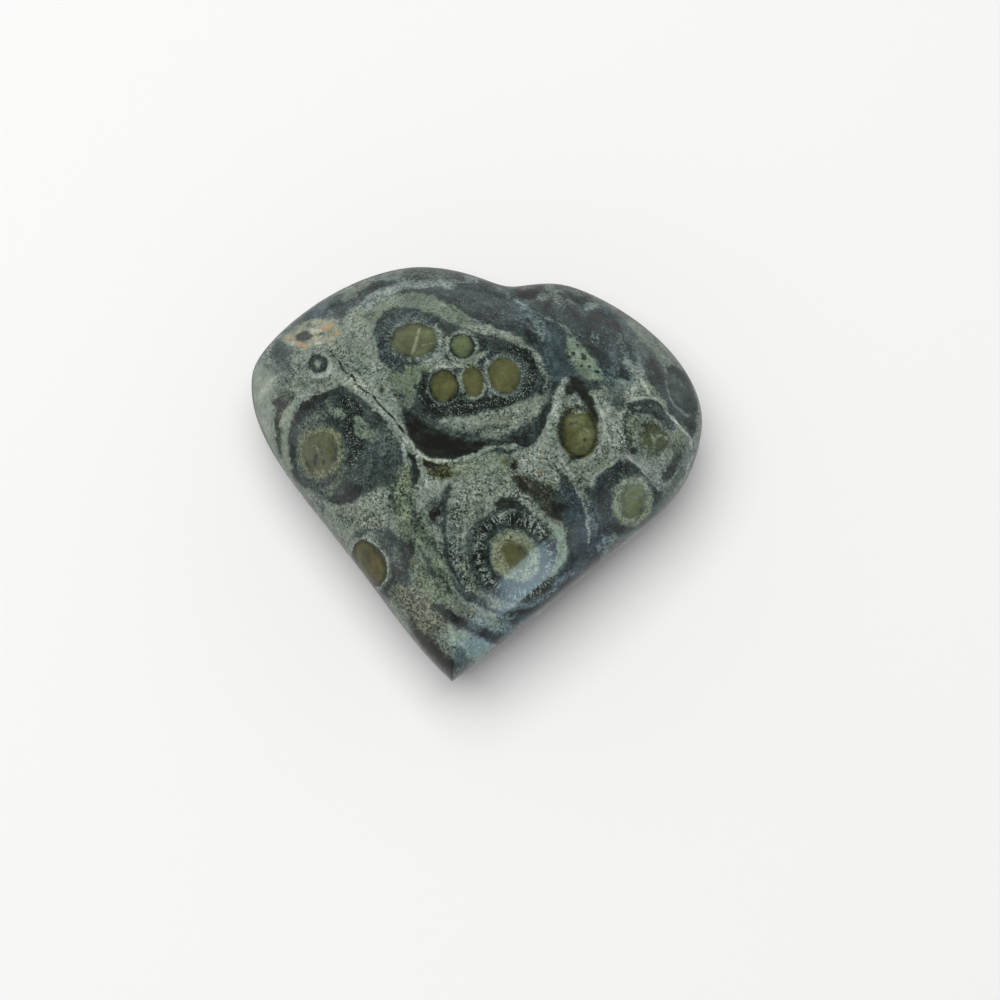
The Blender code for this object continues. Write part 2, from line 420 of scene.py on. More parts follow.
# Bands and patches of the left eye's cell and of the left rim
LEFT_SIDE = {
    "cell edge": band(
        "dark slate", (5, 7, 8, 8, 8, 7, 6), (296, 476), (291, 457), (291, 440), (297, 420), (309, 405),
        (326, 396), (340, 391), edge=2),
    "pale shoulder": band("dim sage", (7, 9, 9), (302, 430), (311, 419), (324, 414), edge=4),
    "green bar": patch(
        "moss", (324, 401), (333, 404), (346, 413), (344, 420), (336, 417), (326, 407), edge=4,
        strength=0.7),
    "smooth crescent": patch(
        "smooth slate", (338, 390), (351, 391), (364, 401), (373, 413), (375, 426), (367, 429),
        (362, 417), (356, 406), (346, 400), edge=2),
    "soot column": band(
        "soot", (11, 14, 10, 13, 15, 11), (346, 401), (355, 411), (350, 424), (352, 438), (357, 449),
        (352, 463), edge=2.5),
    "pale patch": patch(
        "light mint", (354, 419), (362, 419), (371, 429), (374, 438), (366, 440), (357, 432), edge=4,
        strength=0.9),
    "pale patch dots": band(
        "slate", (1, 1.6, 1), (360, 425), (366, 430), (369, 436), edge=1.4, strength=0.6),
    "green bar light": band(
        "light mint", (2, 4, 3), (326, 403), (335, 409), (344, 416), edge=2, strength=0.7),
    "green bar dark": band(
        "dark slate", (1, 1.6, 1), (328, 402), (337, 408), (346, 414), edge=1.4, strength=0.6),
    "pale granular": patch(
        "dim sage", (374, 429), (384, 427), (394, 434), (397, 447), (384, 446), (371, 442), edge=5,
        strength=0.7),
    "lobe": patch(
        "specked slate", (349, 474), (343, 490), (336, 502), (353, 504), (361, 494), (386, 485),
        (397, 476), (404, 463), (406, 452), (400, 441), (388, 448), (372, 445), (362, 452), (356, 463),
        edge=3),
    "lobe patch": patch("dim sage", (378, 452), (392, 450), (398, 458), (388, 464), edge=4, strength=0.4),
    "lens": patch("slate", (374, 416), (380, 413), (387, 419), (388, 426), (380, 425), edge=1.5),
    "yellow streak": band("yellow", (5, 7, 7), (343, 468), (337, 480), (330, 491), edge=3, strength=0.7),
    "lobe foot": patch(
        "deep slate", (350, 482), (343, 492), (336, 502), (352, 504), (358, 494), (364, 486), edge=4,
        strength=0.95),
    "grains under the eye": patch(
        "dim sage", (306, 480), (320, 484), (332, 486), (328, 500), (314, 494), edge=4, strength=0.6),
    "dark rim blotch": patch(
        "smooth slate", (270, 352), (275, 342), (284, 344), (290, 350), (289, 357), (280, 360),
        (272, 358), edge=5, strength=0.9),
    "dark rim blotch low": patch(
        "slate", (276, 360), (285, 358), (291, 362), (290, 372), (282, 370), edge=5, strength=0.8),
    "smear by the rim": band(
        "light slate", (5, 7, 5), (264, 366), (276, 370), (292, 384), edge=6, strength=0.6),
    "brown rim patch": patch(
        "brown", (273, 402), (283, 392), (293, 390), (297, 397), (290, 406), (285, 414), (279, 410),
        edge=5, strength=0.85),
    "brown rim spot": spot("umber", (279, 403), (4, 5), 20, 4, 0.5),
    "brown rim streak": band(
        "brown", (5, 5, 5, 3), (279, 411), (277, 426), (278, 440), (281, 454), edge=2),
    "cream streak by the rim": band(
        "soft cream", (6, 7, 6, 5, 4), (297, 402), (288, 418), (284, 434), (285, 452), (290, 467),
        edge=3),
    "cream blotch": patch(
        "tan", (285, 339), (297, 329), (309, 322), (321, 319), (333, 321), (341, 332), (336, 339),
        (326, 341), (315, 346), (302, 348), (291, 344), edge=4, strength=0.8),
    "blotch lens": spot("umber", (304.5, 337.5), (9.5, 3.4), -14, 3.5, 0.72),
    "blotch gap a": spot("slate", (320, 334.5), (4, 1.6), -30, 3, 0.7),
    "blotch gap b": spot("slate", (310, 327), (5, 1.4), -20, 3, 0.5),
    "rust a": spot("rust", (326.5, 325.5), (5, 3), -15, 4, 0.75),
    "rust b": spot("rust", (289, 339.5), (6, 1.4), 4, 3, 0.7),
    "rust c": spot("rust", (302, 345), (6, 1.6), 14, 3, 0.75),
    "rust d": spot("rust", (328, 340), (4, 2), -10, 2.5, 0.8),
    "rust e": spot("rust", (337, 334.5), (4, 1.6), 10, 2.5, 0.8),
    "pale bit a": spot("white", (314, 330), (4, 2.6), -20, 2.5, 0.6),
    "pale bit b": spot("white", (317, 342.5), (4, 1.8), -10, 2, 0.6),
    "small ring outside": spot("dark slate", (317.5, 362), (9.5, 10), 0, 1.2),
    "small ring inside": spot("slate", (317.5, 362), (7, 7.5), 0, 2),
    "small ring middle": spot("smooth sage", (317, 363), (2, 4.4), 8, 1.4),
    "small ring shine": band(
        "smooth cream", (2, 4.2, 4.2, 2.4), (325, 351), (330.5, 361), (328, 372), (321, 377),
        (313, 376.5), edge=1.2),
}

# Bands and patches of the right lobe
RIGHT_SIDE = {
    "rim cream": patch(
        "cream", (544, 284), (551, 283), (559, 295), (560, 304), (553, 302), edge=3, strength=0.6),
    "rim cream spot": spot("sage", (542, 297), (6, 3), 0, 3, 0.7),
    "rim brown": band("brown", (9, 10, 8), (572, 289), (592, 295), (612, 307), edge=4, strength=0.6),
    "fuzzy cream": spot("cream", (595.5, 308), (9, 3), -8, 4, 0.6),
    "pale streak a": band(
        "dim sage", (2.5, 3, 5, 4, 2), (496, 289), (519, 303), (535, 316), (546, 330), (553, 344), edge=3,
        strength=0.85),
    "pale streak b": band(
        "dim sage", (4, 6, 5, 4), (500, 313), (517, 318), (535, 330), (550, 350), edge=4, strength=0.5),
    "pale streak c": patch(
        "dim sage", (534, 318), (542, 323), (547, 334), (542, 342), (535, 330), edge=3, strength=0.7),
    # Painted sheen: a soft lighter haze on the upper right rim, and a paler one below it
    "painted rim sheen": patch(
        "smooth sage", (616, 318), (634, 330), (650, 352), (640, 362), (632, 348), (620, 334), edge=9,
        strength=0.45),
    "painted rim sheen low": patch(
        "cream", (657, 354), (668, 358), (675, 370), (668, 372), (660, 364), edge=5, strength=0.5),
    "thin line a": band(
        "sage", (1.2, 1.8, 1.8, 1.8, 1.2), (498, 287), (512, 298), (528, 309), (549, 317.5), (567, 328),
        edge=1.6, strength=0.75),
    "thin line low": band(
        "sage", (2, 4, 5, 4, 2), (521, 309), (530, 318), (537, 328), (543, 340), (547, 352), edge=3,
        strength=0.65),
    "thin line under": band(
        "light slate", (1, 1.6, 1.4), (508, 303), (524, 318), (533, 336), edge=1.6, strength=0.6),
    "thin line b": band("sage", (1, 1.6, 1), (575, 332), (592, 340), (601, 356), edge=1.5, strength=0.35),
    "thin line c": band(
        "sage", (1, 1.8, 1.4), (606, 322), (611, 338), (616, 358), edge=1.5, strength=0.5),
    "white flecks a": band(
        "white", (1, 2, 1), (608, 350), (613, 354), (618, 359), edge=1.5, strength=0.6),
    "white flecks b": band(
        "white", (1, 1.6, 1), (600, 352), (603, 355), (606, 360), edge=1.5, strength=0.4),
    "dark hole a": patch(
        "deep slate", (516, 291), (526, 289), (537, 292), (536, 299), (526, 300), (518, 298), edge=3),
    "dark hole b": spot("umber", (547.5, 303.5), (4, 2.6), 0, 2),
    "rim tan": band("tan", (3, 4, 3), (510, 286), (522, 288), (534, 287), edge=3, strength=0.5),
    "rim tan right": patch(
        "tan", (585, 305), (594, 303), (604, 307), (602, 312), (590, 311), edge=4, strength=0.55),
    "rim brown right": patch(
        "brown", (576, 292), (590, 292), (604, 299), (602, 303), (586, 300), edge=4, strength=0.6),
    # Painted sheen: the right rim drawn a lighter, smooth grey where it catches the bright surroundings
    "painted sheen down the right rim": band(
        "rim grey", (10, 14, 16, 15, 12, 8), (598, 300), (616, 308), (636, 322), (652, 338), (666, 356),
        (676, 376), edge=8, strength=0.8),
    # Painted highlight: a lighter grey-blue band just inside the right rim
    "painted grey-blue highlight inside the right rim": band(
        "light slate", (6, 8, 8, 6), (600, 310), (618, 322), (634, 338), (644, 352), edge=6,
        strength=0.6),
    "rim grey top": band("rim grey", (4, 6, 5), (548, 289), (566, 290), (582, 295), edge=5, strength=0.5),
    "rim shade a": spot("slate", (612, 318), (7, 4), 35, 4, 0.6),
    "rim shade b": spot("dark slate", (630, 347), (4, 7), -20, 3, 0.6),
    "rim shade c": spot("brown", (622, 312), (6, 2.5), 30, 3, 0.5),
    "dark by the oval": patch(
        "deep slate", (648, 362), (656, 362), (662, 374), (658, 380), (650, 374), edge=4, strength=0.8),
    "dark hole c": spot("deep slate", (567, 309), (7, 6), 30, 2.5),
    "dark hole c light": band(
        "sage", (1, 1.6, 1), (562, 311), (566, 304), (573, 309), edge=1.4, strength=0.6),
    "dark hole d": spot("dark slate", (574, 314), (6, 3), 30, 2.5),
    "hole fringe": band(
        "sage", (1.6, 2.4, 1.6), (560, 306), (566, 300), (575, 305), edge=2, strength=0.7),
    "blotch": patch(
        "deep slate", (587, 318), (593, 312), (601, 316), (603, 324), (598, 330), (589, 328), edge=5),
    "blotch haze": patch(
        "dark slate", (583, 320), (596, 310), (608, 320), (610, 340), (600, 350), (588, 344), edge=8,
        strength=0.75),
    "blotch low": patch(
        "deep slate", (589, 348), (598, 346), (606, 354), (606, 362), (598, 362), edge=6, strength=0.7),
    "blotch specks": patch(
        "pale grains", (590, 333), (595, 330), (600, 336), (598, 345), (592, 343), edge=4, strength=0.6),
    "stripe": band("dark slate", (7, 10, 9), (608, 318), (616, 331), (622, 346), edge=4),
    "stripe low": patch(
        "dark slate", (622, 342), (632, 346), (636, 356), (628, 360), (620, 352), edge=4, strength=0.8),
    "bluish stripe": band("teal", (6, 9, 7), (601, 326), (608, 340), (614, 356), edge=4, strength=0.35),
    "mint triangle": patch(
        "light mint", (567, 326), (574, 336), (583, 344), (592, 355), (601, 369), (604, 380), (592, 381),
        (583, 377), (575, 369), (570, 355), (567, 341), edge=4, strength=0.95),
    "triangle grains": patch(
        "dim sage", (568, 352), (576, 360), (590, 378), (582, 380), (572, 370), edge=6, strength=0.5),
    "triangle light": patch(
        "bright mint", (571, 335), (578, 344), (584, 355), (579, 360), (573, 350), edge=6, strength=0.4),
    "triangle light low": patch(
        "bright mint", (588, 362), (595, 366), (600, 376), (590, 376), edge=6, strength=0.35),
    "triangle head": band(
        "dim sage", (2, 3, 3), (562, 320), (567, 328), (570, 336), edge=4, strength=0.6),
    "triangle dot a": spot("dark slate", (585.5, 356), (5, 2.2), 55, 1.2),
    "triangle dot b": spot("umber", (591, 368), (1.7, 1.7), 0, 1),
    "triangle dot c": spot("dark slate", (574.5, 354), (1.6, 2.2), 0, 1),
    "triangle dot d": spot("dark slate", (582, 366), (1.6, 1.6), 0, 1),
    "triangle dot e": spot("umber", (597, 372), (2.2, 1.2), 30, 1),
    "triangle dot f": spot("dark slate", (578, 345), (1.4, 1.6), 0, 1),
    "umber cap": patch(
        "umber", (568, 384), (574, 380), (584, 383), (590, 392), (589, 399), (583, 397), (576, 391),
        (569, 397), (565, 393), edge=5, strength=0.85),
    "dark arm": patch(
        "umber", (584, 392), (591, 398), (594.5, 411), (597, 427), (593.5, 427), (589, 412), (582, 403),
        edge=3, strength=0.85),
    "sage right of the drop": patch(
        "pale grains", (604, 398), (624, 402), (628, 430), (626, 456), (606, 466), (592, 464), (602, 440),
        strength=0.8),
    "pale right of the drop": patch(
        "cream", (608, 410), (622, 412), (624, 440), (616, 456), (608, 440), edge=8, strength=0.8),
    "specks above": patch(
        "sage", (600, 384), (612, 374), (624, 384), (628, 396), (612, 402), edge=5, strength=0.5),
    "slate by the squiggle": patch(
        "light slate", (610, 388), (620, 383), (629, 389), (627, 402), (620, 411), (611, 404), edge=5,
        strength=0.8),
    "navy above": patch(
        "dark slate", (619, 367), (628, 366), (637, 374), (636, 381), (626, 380), (617, 374), edge=5,
        strength=0.75),
    "mottle above": spot("dim sage", (616, 370), (6, 4), 30, 4, 0.7),
    "navy above dot": spot("umber", (633, 377.5), (4, 2.6), 0, 3, 0.7),
    "sage streak above": band(
        "dim sage", (8, 8, 6), (618, 338), (626, 352), (632, 364), edge=4, strength=0.8),
    "sage streak": patch(
        "sage", (624, 357), (634, 360), (643, 370), (646, 386), (638, 389), (630, 374), edge=2.5),
    "pale squiggle": patch(
        "cream", (628, 391), (634, 384), (640, 384), (638, 394), (632, 403), (626, 402), edge=3,
        strength=0.8),
    "cheek ring dark": band(
        "dark slate", (5, 8, 8, 6), (630, 407), (643, 402), (657, 404), (668, 414), edge=3, strength=0.9),
    "cheek ring specks": band(
        "navy specks", (6, 10, 12, 9), (638, 413), (650, 410), (664, 416), (673, 428), edge=4,
        strength=0.9),
    "cheek ring green": patch(
        "moss", (628, 410), (638, 414), (642, 424), (636, 438), (630, 444), (627, 428), edge=5,
        strength=0.8),
    "cheek ring left": band(
        "dark slate", (3, 4, 4, 5), (633, 405), (626.5, 416), (626, 430), (630, 446), edge=3,
        strength=0.6),
    "dark blob above": spot("dark slate", (634, 411), (4, 3), 0, 3, 0.7),
    "dark blob below": spot("deep slate", (650, 453), (4, 3), 10, 3, 0.8),
    "dark blob right": spot("dark slate", (672, 446), (3, 5), -20, 3, 0.8),
    "dark blob left": spot("dark slate", (634, 452), (6, 4), 30, 2.5),
    "cheek cell": patch(
        "navy specks", (595, 478), (606, 467), (622, 461), (640, 465), (652, 477), (661, 490), (663, 501),
        (655, 513), (640, 527), (622, 537), (606, 537), (598, 524), (592, 506), (592, 490), edge=4),
    "cheek cell shade": band(
        "dark slate", (3, 6, 5), (606, 476), (600, 496), (606, 520), edge=4, strength=0.6),
    "cheek right dark": band(
        "dark slate", (4, 9, 11, 7), (681, 446), (679, 457), (673, 468), (664, 477), edge=5,
        strength=0.9),
    "rim by the cheek": band(
        "light slate", (7, 9, 9, 8), (684, 472), (664, 502), (638, 526), (612, 548), edge=5,
        strength=0.8),
    "cheek green stripe": band("moss", (4, 6, 5), (676, 424), (682, 437), (684, 451), edge=2),
    "cheek green right": patch(
        "moss", (670, 436), (680, 438), (682, 452), (674, 456), (668, 448), edge=4, strength=0.7),
    "cheek fuzz top": band(
        "light slate", (5, 6, 5), (645, 411), (656, 409), (667, 417), edge=3, strength=0.7),
    "cheek pale outside": band(
        "sage", (4, 5, 4), (662, 401), (670, 409), (679, 421), edge=3, strength=0.6),
    "cheek sage": patch(
        "sage", (637, 454), (650, 457), (664, 460), (666, 472), (656, 480), (645, 470), edge=3),
    "outer stripe": band(
        "smooth slate", (8, 10, 9, 7), (650, 374), (664, 392), (680, 414), (692, 434), edge=2.5),
    "outer oval": spot("dark slate", (681, 389), (12.5, 25.5), -30, 2),
    "outer oval inside": spot("smooth slate", (681, 389), (10.5, 23.5), -30, 4),
    "outer oval core": spot("light slate", (680, 386), (5, 13), -30, 8, 0.4),
    "outer oval ring": band(
        "soft cream", (1.4, 1.8, 1.8, 1.4), (665, 366), (668, 392), (679, 408), (692, 418), edge=1.6,
        strength=0.7),
    "dark wedge": patch("dark slate", (678, 416), (690, 420), (692, 430), (684, 426), edge=2),
}

# Bands and patches of the lower half
LOWER_HALF = {
    "olive lens": patch(
        "dark olive", (424, 457), (438, 460), (450, 465), (454, 476), (443, 480), (430, 475), edge=2.5),
    "olive lens dark": spot("umber", (431, 465), (6, 4), 35, 3, 0.7),
    "cream splash": patch(
        "cream", (420, 468), (430, 480), (444, 480), (462, 484), (452, 490), (434, 492), (424, 484),
        edge=4, strength=0.6),
    "navy drop": patch(
        "dark slate", (408, 452), (418, 454), (422, 468), (420, 482), (413, 489), (409, 480), (412, 466),
        edge=3),
    "top moss": patch(
        "moss", (452, 466), (476, 456), (500, 452), (512, 462), (508, 478), (480, 476), (458, 480),
        edge=6, strength=0.7),
    "yellow spot": spot("yellow", (506, 460), (5, 4), 0, 4),
    "brown spot": spot("brown", (514, 464), (3, 5), 20, 3),
    "rust fleck a": spot("rust", (539, 472), (2, 4), -20, 2),
    "rust fleck b": spot("rust", (541, 458), (2, 2.5), 0, 2),
    "rust fleck c": spot("yellow", (458, 474), (5, 3), 0, 4, 0.7),
    "top grains": patch(
        "pale grains", (524, 452), (545, 446), (560, 462), (556, 480), (540, 478), (526, 466), edge=5,
        strength=0.8),
    "brown band": patch(
        "brown", (511, 477), (520, 473), (527, 475), (546, 486), (562, 494), (573, 506), (571, 523),
        (559, 521), (542, 511), (527, 496), (513, 486), edge=5, strength=0.9),
    "brown band dark": patch(
        "umber", (552, 504), (564, 506), (569, 516), (563, 520), (553, 514), edge=5, strength=0.75),
    "brown band dark top": patch(
        "umber", (512, 472), (520, 478), (530, 490), (518, 486), edge=3, strength=0.7),
    "blue band": band(
        "smooth slate", (14, 16, 18, 16, 12, 10), (566, 514), (578, 532), (580, 556), (566, 580),
        (544, 602), (518, 620), edge=4),
    "crescent shade": band("dark slate", (4, 6, 5), (568, 535), (570, 556), (562, 576), edge=3),
    "outer ring": band(
        "slate", (6, 7, 6, 7, 8, 8, 7), (450, 487), (446, 503), (444, 526), (446, 548), (453, 575),
        (465, 594), (482, 607), edge=4),
    "outer ring dark": band(
        "dark slate", (2, 3, 3, 3, 2), (445, 506), (443.5, 526), (446, 548), (454, 576), (470, 598),
        edge=2.5, strength=0.7),
    "outer ring foot": band("slate", (8, 8, 6), (480, 606), (494, 611), (508, 612), edge=3),
    "outer ring twin": band("slate", (2, 3, 3), (461, 578), (474, 594), (490, 602), edge=2, strength=0.6),
    "ring grains": band(
        "dull grains", (11, 13, 13, 13, 14), (470, 586), (460, 566), (456, 540), (458, 516), (466, 500),
        edge=3),
    "ring grains over the eye": band(
        "pale grains", (14, 15, 14, 10), (464, 502), (478, 491), (498, 487), (524, 499), edge=4),
    "ring grains light": band(
        "cream", (4, 5, 4), (468, 498), (484, 488), (500, 486), edge=5, strength=0.5),
    "ring shade": band(
        "dim sage", (8, 10, 10, 9), (480, 588), (472, 562), (472, 532), (482, 512), edge=4),
    "ring shade dark": band(
        "slate", (3, 5, 5, 4), (478, 586), (473, 564), (473, 534), (482, 514), edge=4, strength=0.35),
    "shade dashes": band("slate", (2.5, 3), (461, 528), (461, 543), edge=2, strength=0.7),
    "blob over the eye": patch(
        "umber", (494, 501), (505, 497.5), (516, 499), (520, 507), (508, 512), (496, 511), edge=7,
        strength=0.85),
    "blob over the eye right": patch(
        "dark slate", (515, 501), (524, 505), (531, 512), (524, 514), (514, 509), edge=3, strength=0.9),
    "pit surround": patch(
        "dark slate", (427, 504), (438, 502), (446, 507), (447, 520), (438, 526), (429, 521), edge=5,
        strength=0.7),
    "pit halo": patch("sage", (421, 506), (431, 504), (432, 514), (424, 518), edge=4, strength=0.7),
    # Painted light and shade of the open pit: a pale lit lip at its lower right, a painted shadow over the
    # hole, and a lit spot on its floor at the lower right
    "painted light on the pit lip": band("cream", (1, 2, 1.4), (444, 513), (443, 519), (438, 522), edge=1.6, strength=0.6),
    "pit shadow": spot("umber", (437, 513.5), (6.2, 6), 0, 1.8),
    "painted lit pit floor": spot("sage", (440.5, 516.8), (3, 2.6), 30, 1.8, 0.75),
    "moss light": patch(
        "yellow", (398, 470), (406, 466), (413, 476), (408, 490), (400, 492), edge=5, strength=0.45),
    "moss grey": patch("brown", (398, 520), (412, 524), (414, 538), (402, 536), edge=5, strength=0.4),
    "moss dark a": patch(
        "dark slate", (409, 538), (416, 540), (416, 556), (410, 554), edge=3, strength=0.8),
    "moss streak a": band("slate", (2, 4, 3), (397, 478), (391, 496), (396, 514), edge=3, strength=0.7),
    "moss streak b": band(
        "dark slate", (2, 5, 3), (410, 498), (417, 516), (426, 532), edge=3, strength=0.7),
    "moss streak c": band("slate", (3, 5, 3), (420, 548), (430, 566), (440, 586), edge=4, strength=0.7),
    "moss vein a": band("deep moss", (3, 5, 4), (388, 484), (391, 500), (387, 514), edge=4, strength=0.6),
    "moss vein b": band(
        "deep moss", (4, 7, 6, 4), (413, 520), (422, 534), (434, 546), (446, 562), edge=4, strength=0.7),
    "moss vein c": band("deep moss", (3, 5, 5), (436, 566), (446, 582), (458, 598), edge=4, strength=0.7),
    "moss vein pale": band(
        "light mint", (2, 3, 2), (438, 556), (450, 574), (462, 590), edge=2, strength=0.6),
    "moss pale": patch("sage", (420, 492), (428, 500), (424, 520), (416, 508), edge=5, strength=0.6),
    "moss dark b": spot("slate", (406, 500), (2, 8), 10, 3, 0.5),
    "moss dark c": spot("dark slate", (431, 561), (5, 2.5), 50, 3, 0.7),
    "grey over the flank eye": band(
        "slate", (8, 9, 10, 12), (357, 535), (370, 530), (386, 534), (402, 552), edge=4, strength=0.75),
    "slate by the flank eye": patch(
        "slate", (377, 532), (392, 537), (405, 545), (410, 560), (409, 580), (402, 592), (391, 598),
        (381, 593), (390, 578), (388, 560), (380, 546), edge=6, strength=0.9),
    "slate by the flank eye deep": spot("dark slate", (400, 570), (7, 10), 0, 6, 0.5),
    "grit by the flank eye": patch(
        "dim sage", (392, 546), (400, 556), (402, 570), (394, 566), edge=7, strength=0.5),
    "dark by the flank eye": patch(
        "dark slate", (400, 542), (410, 543), (414, 555), (409, 566), (402, 560), edge=6, strength=0.7),
    "dark under the flank eye": patch(
        "dark slate", (380, 586), (390, 580), (398, 586), (393, 597), (384, 596), edge=5, strength=0.7),
    "dark by the flank eye low": patch(
        "dark slate", (398, 574), (408, 574), (412, 586), (404, 590), edge=4, strength=0.6),
    "yellow fleck a": spot("yellow", (414, 563), (5, 3.5), 0, 2.5),
    "yellow fleck b": spot("yellow", (419, 583), (6, 4.5), 30, 3),
    "yellow fleck c": spot("yellow", (447, 606), (5, 3), 30, 3, 0.8),
    "left granular": patch(
        "pale grains", (340, 510), (366, 496), (388, 490), (392, 516), (380, 530), (356, 530), edge=6,
        strength=0.5),
    "left granular warm": patch(
        "brown grains", (338, 508), (352, 506), (376, 512), (384, 526), (366, 532), (350, 528), edge=8,
        strength=0.45),
    "low granular": patch(
        "brown grains", (388, 592), (404, 586), (424, 592), (440, 608), (446, 626), (428, 632),
        (408, 616), edge=6),
    "tip pale band": band(
        "sage", (6, 11, 12, 10), (450, 604), (468, 609), (490, 617), (508, 629), edge=3),
    "tip pale band light": band(
        "light mint", (3, 6, 5), (458, 606), (478, 613), (496, 622), edge=4, strength=0.7),
    "tip dark band": band(
        "slate", (7, 10, 11, 10, 8), (437, 606), (454, 619), (473, 627), (490, 635), (504, 642), edge=5),
    "tip dark band left": band(
        "dark slate", (5, 8, 7, 4), (438, 604), (448, 613), (458, 620), (466, 624), edge=3),
    "tip dark band light": spot("teal", (474, 625), (7, 3.5), 28, 4, 0.8),
    "tip dark band right": band("dark slate", (4, 8, 8), (482, 632), (492, 637), (502, 641), edge=3),
    "tip granular": patch(
        "bright mint", (450, 632), (462, 631), (478, 638), (494, 644), (490, 652), (476, 660), (462, 652),
        (452, 642), edge=4, strength=0.9),
    "tip teal dark": patch(
        "teal", (453, 645), (461, 648), (466, 658), (460, 667), (454, 662), edge=6, strength=1.0),
    "tip brown": band(
        "brown", (6, 14, 16, 12, 7), (410, 622), (424, 638), (436, 652), (447, 664), (452, 678), edge=7),
    "tip brown dark": band(
        "umber", (4, 9, 10, 6), (418, 632), (430, 646), (440, 660), (448, 674), edge=7, strength=0.65),
    "tip brown grit": band(
        "brown grains", (3, 5, 4), (428, 630), (440, 643), (450, 656), edge=6, strength=0.5),
    "tip dark": spot("umber", (448, 663), (5, 6), 30, 4, 0.8),
    "flank streaks": band(
        "dim sage", (3, 6, 5), (520, 615), (548, 592), (574, 572), edge=3, strength=0.9),
    "flank streak by the tip": band("dim sage", (4, 6, 4), (500, 638), (520, 624), (540, 612), edge=3),
    "flank dark": band(
        "dark slate", (4, 8, 9, 8, 5), (511, 613.6), (534, 608), (552, 594), (571, 580), (582, 573),
        edge=4, strength=0.85),
    "flank pale": band(
        "sage", (2, 5, 6, 4), (536, 600), (550, 588), (562, 578), (572, 571), edge=3, strength=0.7),
    "flank squiggle": band(
        "umber", (1.4, 2.4, 2.4, 1.4), (500, 612), (508, 616), (516, 612), (524, 612), edge=1.6,
        strength=0.8),
    "slate beside the low line": patch(
        "slate", (585, 489), (593, 486), (597, 505), (601, 530), (604, 546), (596, 556), (589, 552),
        (588, 520), edge=4),
    "flank sage": patch(
        "sage", (596, 550), (602, 538), (612, 533), (617, 539), (606, 550), edge=4, strength=0.8),
    "drop surround": patch(
        "sage", (560, 462), (580, 466), (600, 470), (592, 486), (578, 484), (566, 474), edge=4),
    "grey over the blue": band(
        "dim sage", (6, 8, 6), (572, 478), (586, 500), (592, 530), edge=5, strength=0.6),
}

# Where the stone turns bluer, whatever rock it is; on the right flank the blue is partly the stone's own
# and partly a painted reflection of the bluish window
HUES = {
    "blue over the top": band(
        "blue", (10, 14, 20, 30, 44), (362, 306), (385, 288), (420, 280), (470, 288), (510, 306), edge=12,
        strength=0.35),
    "blue in the right lobe": patch(
        "blue", (516, 300), (550, 308), (580, 304), (612, 312), (640, 352), (636, 384), (600, 378),
        (596, 350), (578, 336), (566, 330), (568, 356), (574, 378), (560, 386), (548, 372), (536, 344),
        (514, 326), edge=14, strength=0.5),
    "blue down the right rim": band(
        "blue", (10, 16, 20, 18, 12), (646, 352), (664, 380), (680, 408), (690, 440), (684, 470), edge=12,
        strength=0.3),
    "blue round the cheek eye": band(
        "blue", (14, 20, 20, 16), (660, 482), (640, 530), (606, 520), (600, 480), edge=10, strength=0.4),
    # Partly painted reflection: the bluish window's veil on the right flank, laid over the stone's own
    # bluer slate
    "blue of the right flank with a painted window reflection": band(
        "blue", (24, 34, 44, 40, 30, 18), (566, 500), (590, 530), (584, 566), (552, 600), (512, 628),
        (478, 644), edge=14, strength=0.95),
    "blue beside the low eye": band(
        "blue", (6, 8, 8, 10), (452, 520), (454, 556), (464, 590), (484, 614), edge=8, strength=0.25),
    "blue at the tip": band(
        "blue", (16, 22, 14), (480, 622), (468, 644), (456, 668), edge=10, strength=0.7),
    "blue in the left lobe": patch(
        "blue", (364, 438), (398, 440), (402, 462), (372, 468), edge=8, strength=0.15),
    "blue by the lower rim": band("blue", (8, 8), (520, 446), (540, 434), edge=8, strength=0.2),
    "blue in the left wedge": band(
        "blue", (10, 12, 8), (304, 316), (328, 308), (350, 306), edge=8, strength=0.5),
}

